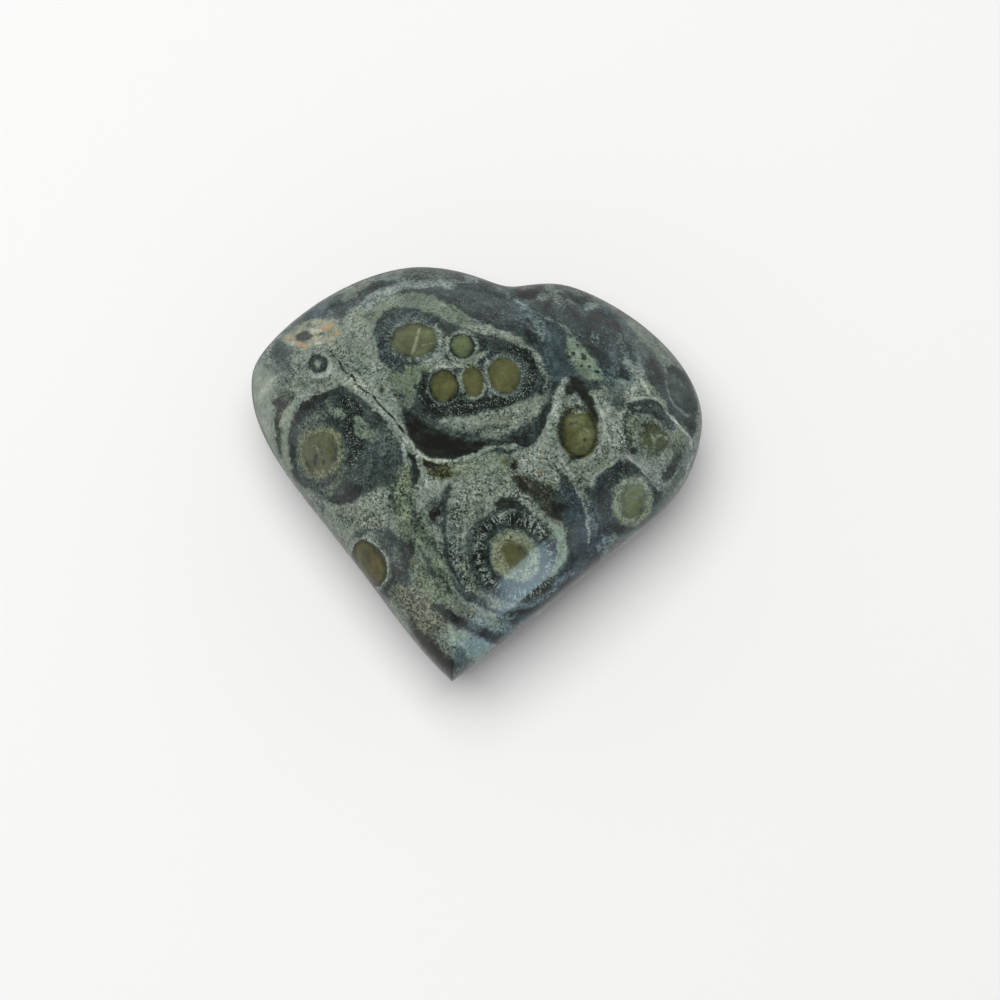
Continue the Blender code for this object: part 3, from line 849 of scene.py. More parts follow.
# Pale veins and thin lines
VEINS = {
    "long vein": band(
        "cream", (9, 13, 14, 12, 10, 9, 6), (335, 372), (350, 379), (367, 391), (382, 406), (394, 421),
        (405, 436), (415, 450), edge=4),
    "vein foot": band(
        "cream", (5, 3, 2.5, 2.5), (408, 438), (418, 452), (421, 466), (428, 478), edge=1.5),
    "vein foot left": band("cream", (4, 2.5), (404, 440), (406, 462), edge=2),
    "cell underline": band(
        "cream", (2, 2.8, 4, 4, 3, 3), (404, 431), (413, 444), (426, 457), (444, 462), (462, 459),
        (486, 449), edge=1.5),
    "cell underline right": band("sage", (5, 6, 5), (486, 449), (506, 446), (526, 450), edge=3),
    "right vein": band(
        "cream", (4, 7, 9, 10, 11, 13, 14), (566, 378), (561, 390), (555, 410), (549, 427), (541, 443),
        (533, 454), (527, 463), edge=3),
    "drop left line": band("cream", (3, 3, 3, 3), (560, 446), (562, 462), (572, 474), (578, 484), edge=2),
    "drop right line": band(
        "smooth cream", (2.2, 2.6, 2.6, 2.4, 2), (595.5, 397), (600, 412), (603, 428), (602, 443),
        (593, 456), edge=1.4),
    "drop underline": band("cream", (4, 4, 3), (598, 446), (588, 460), (574, 464), edge=2),
    "cheek line": band(
        "white", (2, 2.6, 2.2, 2.2, 2.4, 2.4, 2.4, 2.2), (638, 374), (645, 386), (651, 396), (662, 404.5),
        (674, 418.5), (684, 431), (691, 441), (694, 454), edge=1.2, strength=0.85),
    "cheek line foot": band(
        "smooth cream", (2.6, 2.4, 1.8), (694, 454), (690, 466), (681, 486), edge=1.3),
    "cheek line twin": band(
        "smooth cream", (2.4, 2.6, 2.2), (628, 401), (640, 396.5), (654, 400), edge=1.3, strength=0.9),
    "cheek line top": band("soft cream", (1.4, 2, 2.4), (624, 360), (632, 366), (638, 374), edge=1.4),
    "cheek eye line": band(
        "smooth cream", (2.2, 2.4, 2.2, 2), (627, 456), (639, 466), (650, 476), (660, 489), edge=1.2),
    "cheek eye line twin": band("sage", (3, 4, 3), (637, 457), (650, 467), (662, 482), edge=2),
    "cheek eye left line": band(
        "smooth cream", (2, 2.4, 2.4, 2), (620, 458), (606, 466), (594, 477), (589, 490), edge=1.3,
        strength=0.7),
    "low cell line": band(
        "cream", (2, 2.5, 3, 3, 2.5), (562, 470), (576, 488), (584, 508), (588, 530), (591, 553),
        edge=1.6, strength=0.8),
    "low cell line twin": band("sage", (2, 2), (584, 492), (597, 534), edge=2, strength=0.5),
    "eye vein": band(
        "cream", (2, 2.2, 2.2, 2.2, 1.6), (437, 325), (442, 334), (441, 346), (435, 357), (424, 363),
        edge=1.4),
    "eye vein foot": band(
        "cream", (2, 2.4, 2.6, 2), (430, 371), (440, 366), (454, 367), (468, 366), edge=1.5),
    "lens loop": band(
        "cream", (1.6, 2, 2, 1.6), (372, 411), (381, 409), (390, 416), (391, 427), edge=1.4,
        strength=0.6),
    "eye vein right": band(
        "cream", (2, 2.4, 2), (468, 366), (476, 361), (485, 354), edge=1.5, strength=0.8),
    "eye vein between": band("cream", (1.8, 1.6), (486, 352), (487, 366), edge=1.4),
    "eye vein cluster": band(
        "sage", (1.4, 1.6, 1.4), (458, 368), (461, 384), (466, 398), edge=1.4, strength=0.8),
    "eye vein cluster right": band("sage", (2.2, 2.2, 1.8), (485, 362), (487, 380), (492, 396), edge=1.4),
    "small eye collar": band(
        "cream", (2, 3, 3, 2.4), (447.5, 338), (447, 351), (453, 360), (463, 362), edge=1.5,
        strength=0.9),
    "small eye shine": band(
        "white", (1.6, 1.8, 1.6), (466, 334.5), (474, 339), (477, 347), edge=1.2, strength=0.5),
    "cheek eye line a": band("sage", (1.4, 1.8, 1.4), (648, 430), (654, 440), (652, 452), edge=1.4),
    "cheek eye line b": band("sage", (1.4, 1.6, 1.2), (654, 440), (662, 436), (668, 440), edge=1.4),
    "cheek eye bite": patch(
        "dim sage", (640, 444), (648, 446), (652, 456), (644, 460), edge=3, strength=0.8),
    "crack in the top eye": band(
        "white", (1.6, 2.2, 1.4), (418, 329), (415, 341), (411, 354), edge=1.4, strength=0.5),
    "crack in the top eye side": band(
        "white", (1.4, 1.4), (423, 345), (432, 343), edge=1.4, strength=0.4),
    "crack in the drop": band(
        "sage", (1.6, 1.8, 1.4), (568, 427), (577, 428), (587, 432), edge=1.4, strength=0.7),
    "crack in the cheek eye": band(
        "sage", (1.2, 1.4, 1.2), (622, 494.5), (634, 496), (645, 493), edge=1.3, strength=0.6),
    "squiggle": band("dark slate", (2.5, 4, 2.5), (322, 452), (316, 458), (315, 464), edge=2),
    "squiggle side": band("dark slate", (2.5, 2.5), (323, 460), (324, 464), edge=2),
    "squiggle light": band("cream", (1.2, 1.4), (314, 445), (321, 453), edge=1.2, strength=0.6),
    "low eye glow": band(
        "pale fringe", (3, 4.5, 3), (503, 536), (515, 533), (526, 539), edge=4, strength=0.7),
    "green crescent": band(
        "bright mint", (3, 8, 11, 9, 4), (549, 519), (557, 530), (560, 545), (558, 560), (551, 572),
        edge=2),
    "crescent streak": band("light mint", (1, 2.4, 1.4), (555, 530), (559, 546), (556, 562), edge=2),
    "drop apex": patch(
        "cream", (569, 409), (573, 396), (581, 399), (588, 412), (580, 415), (572, 413), edge=4,
        strength=0.8),
    "drop glow": spot("drop light", (577, 421), (9, 6), 0, 6, 0.8),
    "drop glow low": spot("drop light", (583, 441), (9, 8), 0, 6, 0.7),
    "flank eye green": spot("dim eye", (363, 555), (7, 12), -24, 8, 0.6),
    "drop glow eye": spot("umber", (583, 441), (1.4, 1.4), 0, 1.4, 0.8),
    "drop dark": band(
        "umber", (1.4, 2.4, 1.4), (565, 424), (570, 426), (577, 424), edge=1.6, strength=0.6),
    "drop shade left": spot("umber", (562.5, 432), (3.5, 18), -2, 5, 0.45),
    "drop brown left": spot("brown eye", (568, 436), (6, 14), -4, 6, 0.5),
    "drop shade top": band("umber", (5, 6, 5), (566, 412), (577, 408), (590, 412), edge=5, strength=0.55),
    "drop foot": spot("umber", (577, 458), (8, 2.4), -5, 3, 0.6),
    "low eye crest": band(
        "cream", (1.6, 2.2, 2, 2.2, 2), (492, 518), (506, 512), (518, 511), (532, 518), (544, 532),
        edge=1.3, strength=0.7),
}

# Dark hairlines
CRACKS = {
    "long crack": band(
        "umber", (0.9, 1.3, 1.1, 1.7, 1.5, 1.4, 1.1, 0.8), (331, 349), (341, 364), (352, 376),
        (363, 387.5), (374, 397), (385, 409), (397, 423), (408, 438), edge=1.0, strength=0.9),
    "crack beside a": band(
        "umber", (0.6, 1.0, 1.0, 0.6), (344, 362), (353, 369), (364, 378), (374, 392), edge=1.0,
        strength=0.5),
    "crack beside b": band(
        "umber", (0.6, 1.0, 0.6), (362, 392), (374, 403), (384, 416), edge=1.0, strength=0.5),
    "crack twig a": band("umber", (0.9, 0.6), (352, 376), (345, 382), edge=1.0, strength=0.5),
    "crack twig b": band("umber", (0.9, 0.6), (374, 397), (381, 399), edge=1.0, strength=0.5),
    "underline shade": band(
        "umber", (1.2, 1.6, 1.2), (430, 464), (446, 466), (462, 462), edge=1.2, strength=0.5),
    "outline of the low eye": band(
        "umber", (1.2, 1.2, 1.2), (487, 518), (478, 540), (482, 570), edge=1.2, strength=0.5),
}

# The eyes' plain middles with their rings
EYES = {
    "top eye": eye("green eye", (414.8, 340), (24, 16.3), -3, ((0, 5.5, "pale fuzz"),), 0.9, 2.2),
    "small eye": eye(
        "leaf eye", (462, 346.6), (10.8, 11.2), 0,
        ((0, 1.6, "dark slate"), (1.6, 5, "sage"), (5, 6.5, "light slate"))),
    "cluster left": eye(
        "olive", (444.3, 386.4), (14.2, 15.6), -8, ((0, 1.4, "umber"), (1.4, 3.4, "pale fuzz"))),
    "cluster middle": eye(
        "amber eye", (473.2, 380.6), (10.4, 15.8), -8, ((0, 3.5, "sage"),), 0.3, 1.8, 0.06),
    "cluster right": eye(
        "amber eye", (503.6, 375.4), (15.4, 18.2), -20, ((0, 4.5, "pale fuzz"),), 0.5, 2.2, 0.08),
    "left eye": eye(
        "dim eye", (320.8, 451.6), (17, 19.4), 12, ((0, 6, "dim fringe"), (6, 8.5, "light slate")), 1.4,
        6.0, 0.0),
    "low eye": eye(
        "amber eye", (513.4, 555.8), (10.6, 15.2), -35,
        ((0, 11.8, "eye fringe"), (12, 19, "black"), (17, 29, "threads"), (28, 33, "slate")), 0.9, 7.5,
        0.0),
    "cheek eye": eye(
        "leaf eye", (632.7, 500.5), (12, 17.5), 10, ((0, 8.5, "pale fringe"), (8.5, 12, "slate")), 1.1,
        7.0, 0.0),
    "cheek eye above": eye("petal eye", (654.5, 439), (13.5, 15), -24, ((0, 3, "dim sage"),), 2.2, 3.0),
    "teardrop": eye("drop olive", (578, 432), (18, 25.5), -4, ((0, 1.6, "brown eye"),), 0.6, 2.6, 0.2),
    "flank eye": eye(
        "brown eye", (369.5, 563.4), (14.5, 23.5), -24, ((0, 1.2, "umber"), (1.2, 3, "cream")), 0.3, 1.6,
        0.16),
    "speck eye": eye("olive", (382, 390), (3, 2.4), 20, ((0, 1.4, "sage"),)),
    "edge eye": eye("slate", (586, 566.5), (5, 3.6), -40, ((0, 1.2, "light slate"),)),
}


def clear_scene_of(name):
    """Removes an object of this name that an earlier run left."""
    old = bpy.data.objects.get(name)
    if old is not None:
        bpy.data.objects.remove(old)


def outline():
    """The girdle's points, close together, from the tip on, as complex numbers round the middle."""
    points = []
    for here, after in zip(STATIONS, STATIONS[1:] + STATIONS[:1]):
        knots = [Vector((x, y, 0.0)) * MM for x, y in (here[0], here[2], after[1], after[0])]
        points += [complex(p.x, p.y) for p in interpolate_bezier(*knots, CURVE_STEPS)[:-1]]
    points = np.array(points)
    across = points.real.max() + points.real.min()
    along = points.imag.max() + points.imag.min()
    return points - complex(across, along) / 2


def evenly(points, count):
    """The closed line through these points, read at evenly spaced places from its first point."""
    closed = np.append(points, points[0])
    gone = np.concatenate([[0.0], np.cumsum(np.abs(np.diff(closed)))])
    wanted = np.linspace(0.0, gone[-1], count, endpoint=False)
    return np.interp(wanted, gone, closed.real) + 1j * np.interp(wanted, gone, closed.imag)


def ring(girdle, share, count):
    """The girdle drawn in towards the crown: further in, its tip is rounder and its notch shallower."""
    crown = complex(*CROWN)
    waves = np.fft.fft(evenly(girdle, len(girdle)) - crown)
    order = np.abs(np.fft.fftfreq(len(girdle), 1 / len(girdle)))
    rounder = np.fft.ifft(waves * np.exp(-((order * CORNER_FADE * (1 - share)) ** 2)))
    return crown + share * evenly(rounder, count)


def dome_height(share, fullness):
    """How much of the dome's rise is left at this share of the way out from the crown."""
    return np.clip(1 - share**fullness, 0, 1) ** (1 / fullness)


def dome(girdle, rise, fullness, innermost, spacing):
    """The shares and heights of the dome's rings, the innermost first, wider apart on the wall."""
    angle = np.linspace(0, np.pi / 2, DOME_STEPS)
    share = innermost + (1 - innermost) * np.sin(angle)
    height = rise * dome_height(share, fullness)
    reach = np.abs(girdle).mean()
    steps = np.hypot(np.diff(share) * reach, np.diff(height) * WALL_WEIGHT)
    gone = np.concatenate([[0.0], np.cumsum(steps)])
    wanted = np.linspace(0.0, gone[-1], round(gone[-1] / spacing) + 1)
    return np.interp(wanted, gone, share), np.interp(wanted, gone, height)


def corners_of(girdle, share, spacing):
    around = np.abs(np.diff(np.append(girdle, girdle[0]))).sum()
    return max(FEWEST_CORNERS, round(share * around / spacing))


def stitch(triangles, inner, outer):
    """Adds the triangles that fill the band between two rings of point numbers."""
    i = j = 0
    while i < len(inner) or j < len(outer):
        inner_next = (i + 1) / len(inner)
        outer_next = (j + 1) / len(outer)
        if j == len(outer) or (i < len(inner) and inner_next <= outer_next):
            triangles.append((inner[i], outer[j % len(outer)], inner[(i + 1) % len(inner)]))
            i += 1
        else:
            triangles.append((inner[i % len(inner)], outer[j], outer[(j + 1) % len(outer)]))
            j += 1


def half_stone(points, triangles, girdle, edge, sign, rise, fullness, innermost, spacing):
    """Adds one side of the stone, face (sign 1) or back (sign -1), inside the girdle's ring of points."""
    shares, heights = dome(girdle, rise, fullness, innermost, spacing)
    if innermost:
        count = round(innermost * np.abs(girdle).mean() / spacing)
        flat = np.linspace(0.0, innermost, count, endpoint=False)
        shares = np.concatenate([flat, shares])
        heights = np.concatenate([np.full(len(flat), heights[0]), heights])
    rings = []
    for share, height in zip(shares[:-1], heights[:-1]):
        level = max(0.0, GIRDLE_HEIGHT + sign * height)
        if share:
            spread = ring(girdle, share, corners_of(girdle, share, spacing))
        else:
            spread = np.array([complex(*CROWN)])
        first = len(points)
        points.extend((p.real, p.imag, level) for p in spread)
        rings.append(list(range(first, len(points))))
    rings.append(edge)
    found = []
    for inner, outer in zip(rings, rings[1:]):
        if len(inner) == 1:
            found += [(inner[0], a, b) for a, b in zip(outer, outer[1:] + outer[:1])]
        else:
            stitch(found, inner, outer)
    triangles.extend(found if sign < 0 else [t[::-1] for t in found])


def stone_mesh():
    girdle = outline()
    points = []
    triangles = []
    around = ring(girdle, 1.0, corners_of(girdle, 1.0, FACE_SPACING))
    points.extend((p.real, p.imag, GIRDLE_HEIGHT) for p in around)
    edge = list(range(len(points)))
    half_stone(points, triangles, girdle, edge, 1, FACE_RISE, FACE_FULLNESS, 0.0, FACE_SPACING)
    drop = GIRDLE_HEIGHT / dome_height(FLAT_SHARE, BACK_FULLNESS)
    half_stone(points, triangles, girdle, edge, -1, drop, BACK_FULLNESS, FLAT_SHARE, BACK_SPACING)
    mesh = bpy.data.meshes.new("heart_stone")
    mesh.from_pydata(points, [], triangles)
    mesh.validate()
    mesh.shade_smooth()
    return mesh


def whole_noise(cells, seed):
    """A repeatable number from 0 to 1 for each whole-numbered cell."""
    x, y, z = cells[:, 0], cells[:, 1], cells[:, 2]
    mixed = (x * 73856093) ^ (y * 19349663) ^ (z * 83492791) ^ (seed * 40503)
    mixed = (mixed ^ (mixed >> 13)) * 1274126177
    return ((mixed ^ (mixed >> 16)) & 0xFFFF) / 0xFFFF


def noise(places, wave, seed):
    """Smooth noise from -1 to 1 at these places, with humps about one wave apart."""
    scaled = places / wave + 1000.0
    base = np.floor(scaled).astype(np.int64)
    part = scaled - base
    part = part * part * (3 - 2 * part)
    total = np.zeros(len(places))
    for dx in (0, 1):
        for dy in (0, 1):
            for dz in (0, 1):
                weight = np.abs(1 - dx - part[:, 0]) * np.abs(1 - dy - part[:, 1])
                weight = weight * np.abs(1 - dz - part[:, 2])
                total += weight * whole_noise(base + (dx, dy, dz), seed)
    return total * 2 - 1


def smooth(values):
    """Eases 0..1 in and out, and holds what is outside."""
    held = np.clip(values, 0, 1)
    return held * held * (3 - 2 * held)


def camera_axes():
    """The camera's place, and its right, up and backward directions."""
    back = np.array([
        math.sin(VIEW_AZIMUTH) * math.cos(VIEW_ELEVATION),
        -math.cos(VIEW_AZIMUTH) * math.cos(VIEW_ELEVATION),
        math.sin(VIEW_ELEVATION),
    ])
    right = np.array([math.cos(VIEW_AZIMUTH), math.sin(VIEW_AZIMUTH), 0.0])
    up = np.cross(back, right)
    return np.array(VIEW_TARGET) + back * VIEW_DISTANCE, right, up, back


def in_picture(places):
    """Where these places are in the picture, in pixels from its top left corner."""
    eye_place, right, up, back = camera_axes()
    away = places - eye_place
    depth = -(away @ back)
    half = PICTURE / 2
    per_unit = half * 2 * LENS / SENSOR
    return np.stack([half + away @ right / depth * per_unit, half - away @ up / depth * per_unit], axis=1)


def smooth_line(points, closed):
    """A smooth line through these points, and how far along each sample is, counted in points."""
    points = np.array(points, float)
    count = len(points)
    if closed:
        padded = np.concatenate([points[-1:], points, points[:2]])
        spans = count
    else:
        padded = np.concatenate([points[:1] * 2 - points[1:2], points, points[-1:] * 2 - points[-2:-1]])
        spans = count - 1
    t = np.linspace(0, 1, CURVE_PIECES, endpoint=False)[:, None]
    line = []
    for k in range(spans):
        a, b, c, d = padded[k:k + 4]
        line.append(0.5 * (
            2 * b + (c - a) * t + (2 * a - 5 * b + 4 * c - d) * t**2
            + (3 * b - a - 3 * c + d) * t**3))
    along = (np.arange(spans)[:, None] + t[:, 0][None, :]).ravel()
    line = np.concatenate(line)
    if closed:
        return np.concatenate([line, line[:1]]), np.append(along, float(count))
    return np.concatenate([line, points[-1:]]), np.append(along, float(spans))


def to_line(spots, line, along):
    """Each spot's distance to the line, and how far along its nearest point is."""
    starts, steps = line[:-1], np.diff(line, axis=0)
    lengths = np.maximum((steps**2).sum(1), 1e-9)
    best = np.full(len(spots), 1e9)
    place = np.zeros(len(spots))
    for start, step, length, first, last in zip(starts, steps, lengths, along[:-1], along[1:]):
        share = np.clip(((spots - start) @ step) / length, 0, 1)
        away = np.hypot(*(spots - start - share[:, None] * step).T)
        nearer = away < best
        best[nearer] = away[nearer]
        place[nearer] = (first + share * (last - first))[nearer]
    return best, place


def inside(spots, line):
    """Whether each spot lies inside the closed line."""
    crossings = np.zeros(len(spots), int)
    x, y = spots.T
    for (ax, ay), (bx, by) in zip(line[:-1], line[1:]):
        if ay == by:
            continue
        spans = (ay > y) != (by > y)
        crossings += spans & (x < (bx - ax) * (y - ay) / (by - ay) + ax)
    return crossings % 2 == 1


def oval_gap(spots, centre, radii, turn):
    """How far outside an oval each spot is, about, and its offset from the middle in the oval's axes."""
    angle = math.radians(turn)
    offset = spots - np.array(centre)
    across = offset @ (math.cos(angle), math.sin(angle))
    down = offset @ (-math.sin(angle), math.cos(angle))
    scaled = np.stack([across / radii[0], down / radii[1]], axis=1)
    length = np.hypot(*scaled.T)
    near_radius = np.hypot(across, down) / np.maximum(length, 1e-6)
    return (length - 1) * near_radius, scaled / np.maximum(length, 1e-6)[:, None]


def mark_depth(mark, spots):
    """How far inside a mark each spot is, in pixels; below 0 outside it."""
    if mark["form"] == "spot":
        return -oval_gap(spots, mark["centre"], mark["radii"], mark["turn"])[0]
    closed = mark["form"] == "patch"
    line, along = smooth_line(mark["points"], closed)
    distance, place = to_line(spots, line, along)
    if closed:
        return np.where(inside(spots, line), distance, -distance)
    widths = np.atleast_1d(np.array(mark["width"], float))
    stations = np.linspace(0, len(mark["points"]) - 1, len(widths))
    return np.interp(place, stations, widths) / 2 - distance


def near(mark, spots, margin):
    """Which spots are in reach of a mark."""
    if "centre" in mark:
        centre = np.array(mark["centre"])
        reach = max(mark["radii"]) + margin
        return np.flatnonzero(np.abs(spots - centre).max(axis=1) < reach)
    points = np.array(mark["points"], float)
    low, high = points.min(axis=0) - margin, points.max(axis=0) + margin
    return np.flatnonzero(((spots > low) & (spots < high)).all(axis=1))


class Rock:
    """The fields of the stone at a set of places: what kind of rock is there."""

    def __init__(self, count):
        self.fields = {name: np.zeros(count) for name in FIELDS}
        self.gap = np.full(count, FAR_GAP)
        self.way = np.zeros((count, 3))

    def lay(self, rock, where, amount):
        """Lays a kind of rock over what is there, or where it names a field, raises just that field."""
        if rock not in ROCKS:
            self.fields[rock][where] += (1.0 - self.fields[rock][where]) * amount
            return
        for name, field in self.fields.items():
            field[where] += (ROCKS[rock].get(name, 0.0) - field[where]) * amount


def lay_mark(rock, mark, spots, rough):
    widest = max(np.atleast_1d(mark.get("width", 0.0)))
    where = near(mark, spots, widest + 2 * mark["edge"] + MARK_MARGIN)
    depth = mark_depth(mark, spots[where]) + rough[where] * min(1.0, mark["edge"] / 2)
    rock.lay(mark["rock"], where, smooth(depth / mark["edge"] + 0.5) * mark["strength"])


def lay_eye(rock, mark, spots, rough, number):
    where = near(mark, spots, FAR_GAP)
    gap, direction = oval_gap(spots[where], mark["centre"], mark["radii"], mark["turn"])
    gap = gap + rough[where] * mark["ragged"]
    edge = mark["edge"]
    for start, end, kind in reversed(mark["rings"]):
        amount = smooth((gap - start) / edge + 0.5) * smooth((end - gap) / edge + 0.5)
        rock.lay(kind, where, amount)
    rock.lay(mark["rock"], where, smooth(-gap / edge + 0.5))
    rock.fields["tone"][where] -= mark["shade"] * smooth(1 + gap / CORE_RIM) * (gap < 0)
    nearer = gap < rock.gap[where]
    rock.gap[where[nearer]] = gap[nearer]
    turned = np.stack([direction[:, 0], direction[:, 1], np.full(len(gap), float(number))], axis=1)
    rock.way[where[nearer]] = turned[nearer]


def face_rock(places):
    """The face's own markings, drawn in the picture and wandering a little as natural ones do."""
    still = in_picture(places)
    spots = still
    for size, wave, seed in ((WANDER, WANDER_WAVE, 1), (QUIVER, QUIVER_WAVE, 5)):
        spots = spots + size * np.stack([noise(places, wave, seed), noise(places, wave, seed + 1)], axis=1)
    calm = (still + spots) / 2
    rough = RAGGED * (noise(places, RAGGED_WAVE, 3) + 0.6 * noise(places, RAGGED_WAVE / 2, 4))
    rock = Rock(len(places))
    for group in (GROUND, BIG_CELL, LEFT_SIDE, RIGHT_SIDE, LOWER_HALF, HUES):
        for mark in group.values():
            lay_mark(rock, mark, spots, rough)
    for number, mark in enumerate(EYES.values()):
        lay_eye(rock, mark, calm, rough, number)
    for group in (VEINS, CRACKS):
        for mark in group.values():
            lay_mark(rock, mark, spots, rough)
    return rock


def hidden_rock(places):
    """The sides' and the back's markings: bands that flow round scattered eyes."""
    random = np.random.default_rng(HIDDEN_SEED)
    rock = Rock(len(places))
    everywhere = np.arange(len(places))
    bent = places + HIDDEN_BEND * np.stack([noise(places, 11 * MM, 21 + k) for k in range(3)], axis=1)
    flow = noise(bent, 9 * MM, 31) + 0.5 * noise(bent, 4.5 * MM, 32)
    rock.lay("sage", everywhere, 1.0)
    rock.lay("slate", everywhere, smooth(flow * 3 + 0.5))
    rock.lay("dark slate", everywhere, smooth(flow * 3 - 1.2))
    rock.lay("moss", everywhere, 0.8 * smooth(noise(bent, 8 * MM, 33) * 4 - 1.3))
    rock.lay("brown", everywhere, 0.7 * smooth(noise(bent, 6 * MM, 34) * 4 - 1.9))
    veins = np.abs(noise(bent, 13 * MM, 35) + 0.3 * noise(bent, 5 * MM, 36))
    rock.lay("cream", everywhere, 0.9 * smooth(1.4 - veins * 26))
    nearest = np.full(len(places), 1e9)
    for number, (middle, radius, kind) in enumerate(hidden_eyes(places, random)):
        stretch = 1 + 0.35 * random.uniform(-1, 1, 3)
        offset = (bent - bent[middle]) * stretch
        distance = np.hypot(np.hypot(offset[:, 0], offset[:, 1]), offset[:, 2])
        gap = (distance - radius) / MM * PIXELS_PER_MM
        cell = gap < nearest
        nearest[cell] = gap[cell]
        where = np.flatnonzero(cell & (gap < FAR_GAP))
        lay_hidden_eye(rock, kind, gap[where], where)
        direction = offset[where] / np.maximum(distance[where], 1e-9)[:, None]
        closer = gap[where] < rock.gap[where]
        rock.gap[where[closer]] = gap[where][closer]
        rock.way[where[closer]] = direction[closer] + 10.0 + number
    return rock


def hidden_eyes(places, random):
    """Scattered eyes round the rim and over the back, as (the point in its middle, radius, rock)."""
    kinds = ("olive", "green eye", "olive", "brown eye")
    wanted = []
    for k in range(HIDDEN_RIM_EYES):
        angle = (k + random.uniform(0.2, 0.8)) * 2 * math.pi / HIDDEN_RIM_EYES
        height = random.uniform(3, 8) * MM + HIDDEN_LIFT * max(0.0, math.sin(angle))
        wanted.append((HIDDEN_REACH * math.cos(angle), HIDDEN_REACH * math.sin(angle), height))
    for k in range(HIDDEN_BACK_EYES):
        angle = k * GOLDEN_ANGLE
        reach = 27 * MM * math.sqrt((k + 0.3) / HIDDEN_BACK_EYES)
        wanted.append((reach * math.cos(angle), 5 * MM + reach * math.sin(angle), 0.0))
    found = []
    for number, aim in enumerate(wanted):
        middle = np.argmin(((places - aim)**2).sum(axis=1))
        found.append((middle, random.uniform(1.7, 3.6) * MM, kinds[number % len(kinds)]))
    return found


def lay_hidden_eye(rock, kind, gap, where):
    for start, end, ring_kind in HIDDEN_EYE_RINGS:
        amount = smooth((gap - start) / 3 + 0.5) * smooth((end - gap) / 3 + 0.5)
        rock.lay(ring_kind, where, amount)
    rock.lay(kind, where, smooth(-gap / RING_EDGE + 0.5))


def mark_stone(mesh):
    """Writes the rock at every point of the stone as attributes that its material reads."""
    count = len(mesh.vertices)
    places = np.empty(count * 3)
    mesh.vertices.foreach_get("co", places)
    places = places.reshape(-1, 3)
    normals = np.empty(count * 3, np.float32)
    mesh.vertex_normals.foreach_get("vector", normals)
    to_camera = camera_axes()[0] - places
    to_camera /= np.linalg.norm(to_camera, axis=1)[:, None]
    facing = (normals.reshape(-1, 3) * to_camera).sum(axis=1)
    facing += 0.05 * noise(places, 2.5 * MM, 41)
    seen = smooth((facing - FACE_SHOWS[0]) / (FACE_SHOWS[1] - FACE_SHOWS[0]))
    face = face_rock(places)
    hidden = hidden_rock(places)
    for name in FIELDS:
        values = hidden.fields[name] * (1 - seen) + face.fields[name] * seen
        mesh.attributes.new(name, "FLOAT", "POINT").data.foreach_set("value", values.astype(np.float32))
    gap = np.where(seen > 0.5, face.gap, hidden.gap)
    way = np.where((seen > 0.5)[:, None], face.way, hidden.way)
    mesh.attributes.new("gap", "FLOAT", "POINT").data.foreach_set("value", gap.astype(np.float32))
    ways = mesh.attributes.new("way", "FLOAT_VECTOR", "POINT")
    ways.data.foreach_set("vector", way.astype(np.float32).ravel())


class Nodes:
    """A short way to add nodes to a tree and to link them."""

    def __init__(self, tree):
        self.tree = tree

    def add(self, kind, label="", **settings):
        node = self.tree.nodes.new(kind)
        node.label = label
        for name, value in settings.items():
            setattr(node, name, value)
        return node

    def link(self, source, target):
        self.tree.links.new(source, target)

    def put(self, value, socket):
        """A link from a socket, or a constant."""
        if isinstance(value, bpy.types.NodeSocket):
            self.link(value, socket)
        else:
            socket.default_value = value

    def math(self, operation, a, b=0.0, c=0.0, clamp=False):
        node = self.add("ShaderNodeMath", operation=operation, use_clamp=clamp)
        for socket, value in zip(node.inputs, (a, b, c)):
            self.put(value, socket)
        return node.outputs[0]

    def between(self, value, low, high, to_low=0.0, to_high=1.0):
        """Eases a value from one range to another."""
        node = self.add("ShaderNodeMapRange", interpolation_type="SMOOTHSTEP")
        for socket, given in zip(node.inputs, (value, low, high, to_low, to_high)):
            self.put(given, socket)
        return node.outputs["Result"]

    def blend(self, amount, a, b):
        node = self.add("ShaderNodeMix", data_type="FLOAT", clamp_factor=True)
        for socket, value in zip(node.inputs[:1] + node.inputs[2:4], (amount, a, b)):
            self.put(value, socket)
        return node.outputs[0]

    def mix(self, amount, a, b, blend="MIX"):
        node = self.add("ShaderNodeMix", data_type="RGBA", blend_type=blend, clamp_factor=True)
        self.put(amount, node.inputs[0])
        self.put(a, node.inputs[6])
        self.put(b, node.inputs[7])
        return node.outputs[2]

    def field(self, name):
        return self.add("ShaderNodeAttribute", name, attribute_name=name).outputs["Fac"]

    def voronoi(self, place, scale, feature):
        node = self.add("ShaderNodeTexVoronoi", feature=feature)
        self.put(place, node.inputs["Vector"])
        self.put(scale, node.inputs["Scale"])
        return node

    def noise(self, place, scale, detail=2.0, roughness=0.5, distortion=0.0):
        node = self.add("ShaderNodeTexNoise")
        self.put(place, node.inputs["Vector"])
        for name, value in (
            ("Scale", scale), ("Detail", detail), ("Roughness", roughness), ("Distortion", distortion),
        ):
            self.put(value, node.inputs[name])
        return node.outputs["Fac"]


def new_group(name, inputs, output):
    """A node group with these inputs, as (name, kind) pairs, and one value going out."""
    group = bpy.data.node_groups.new(name, "ShaderNodeTree")
    for label, kind in inputs:
        group.interface.new_socket(label, in_out="INPUT", socket_type="NodeSocket" + kind)
    group.interface.new_socket(output, in_out="OUTPUT", socket_type="NodeSocketFloat")
    nodes = Nodes(group)
    return group, nodes, nodes.add("NodeGroupInput").outputs


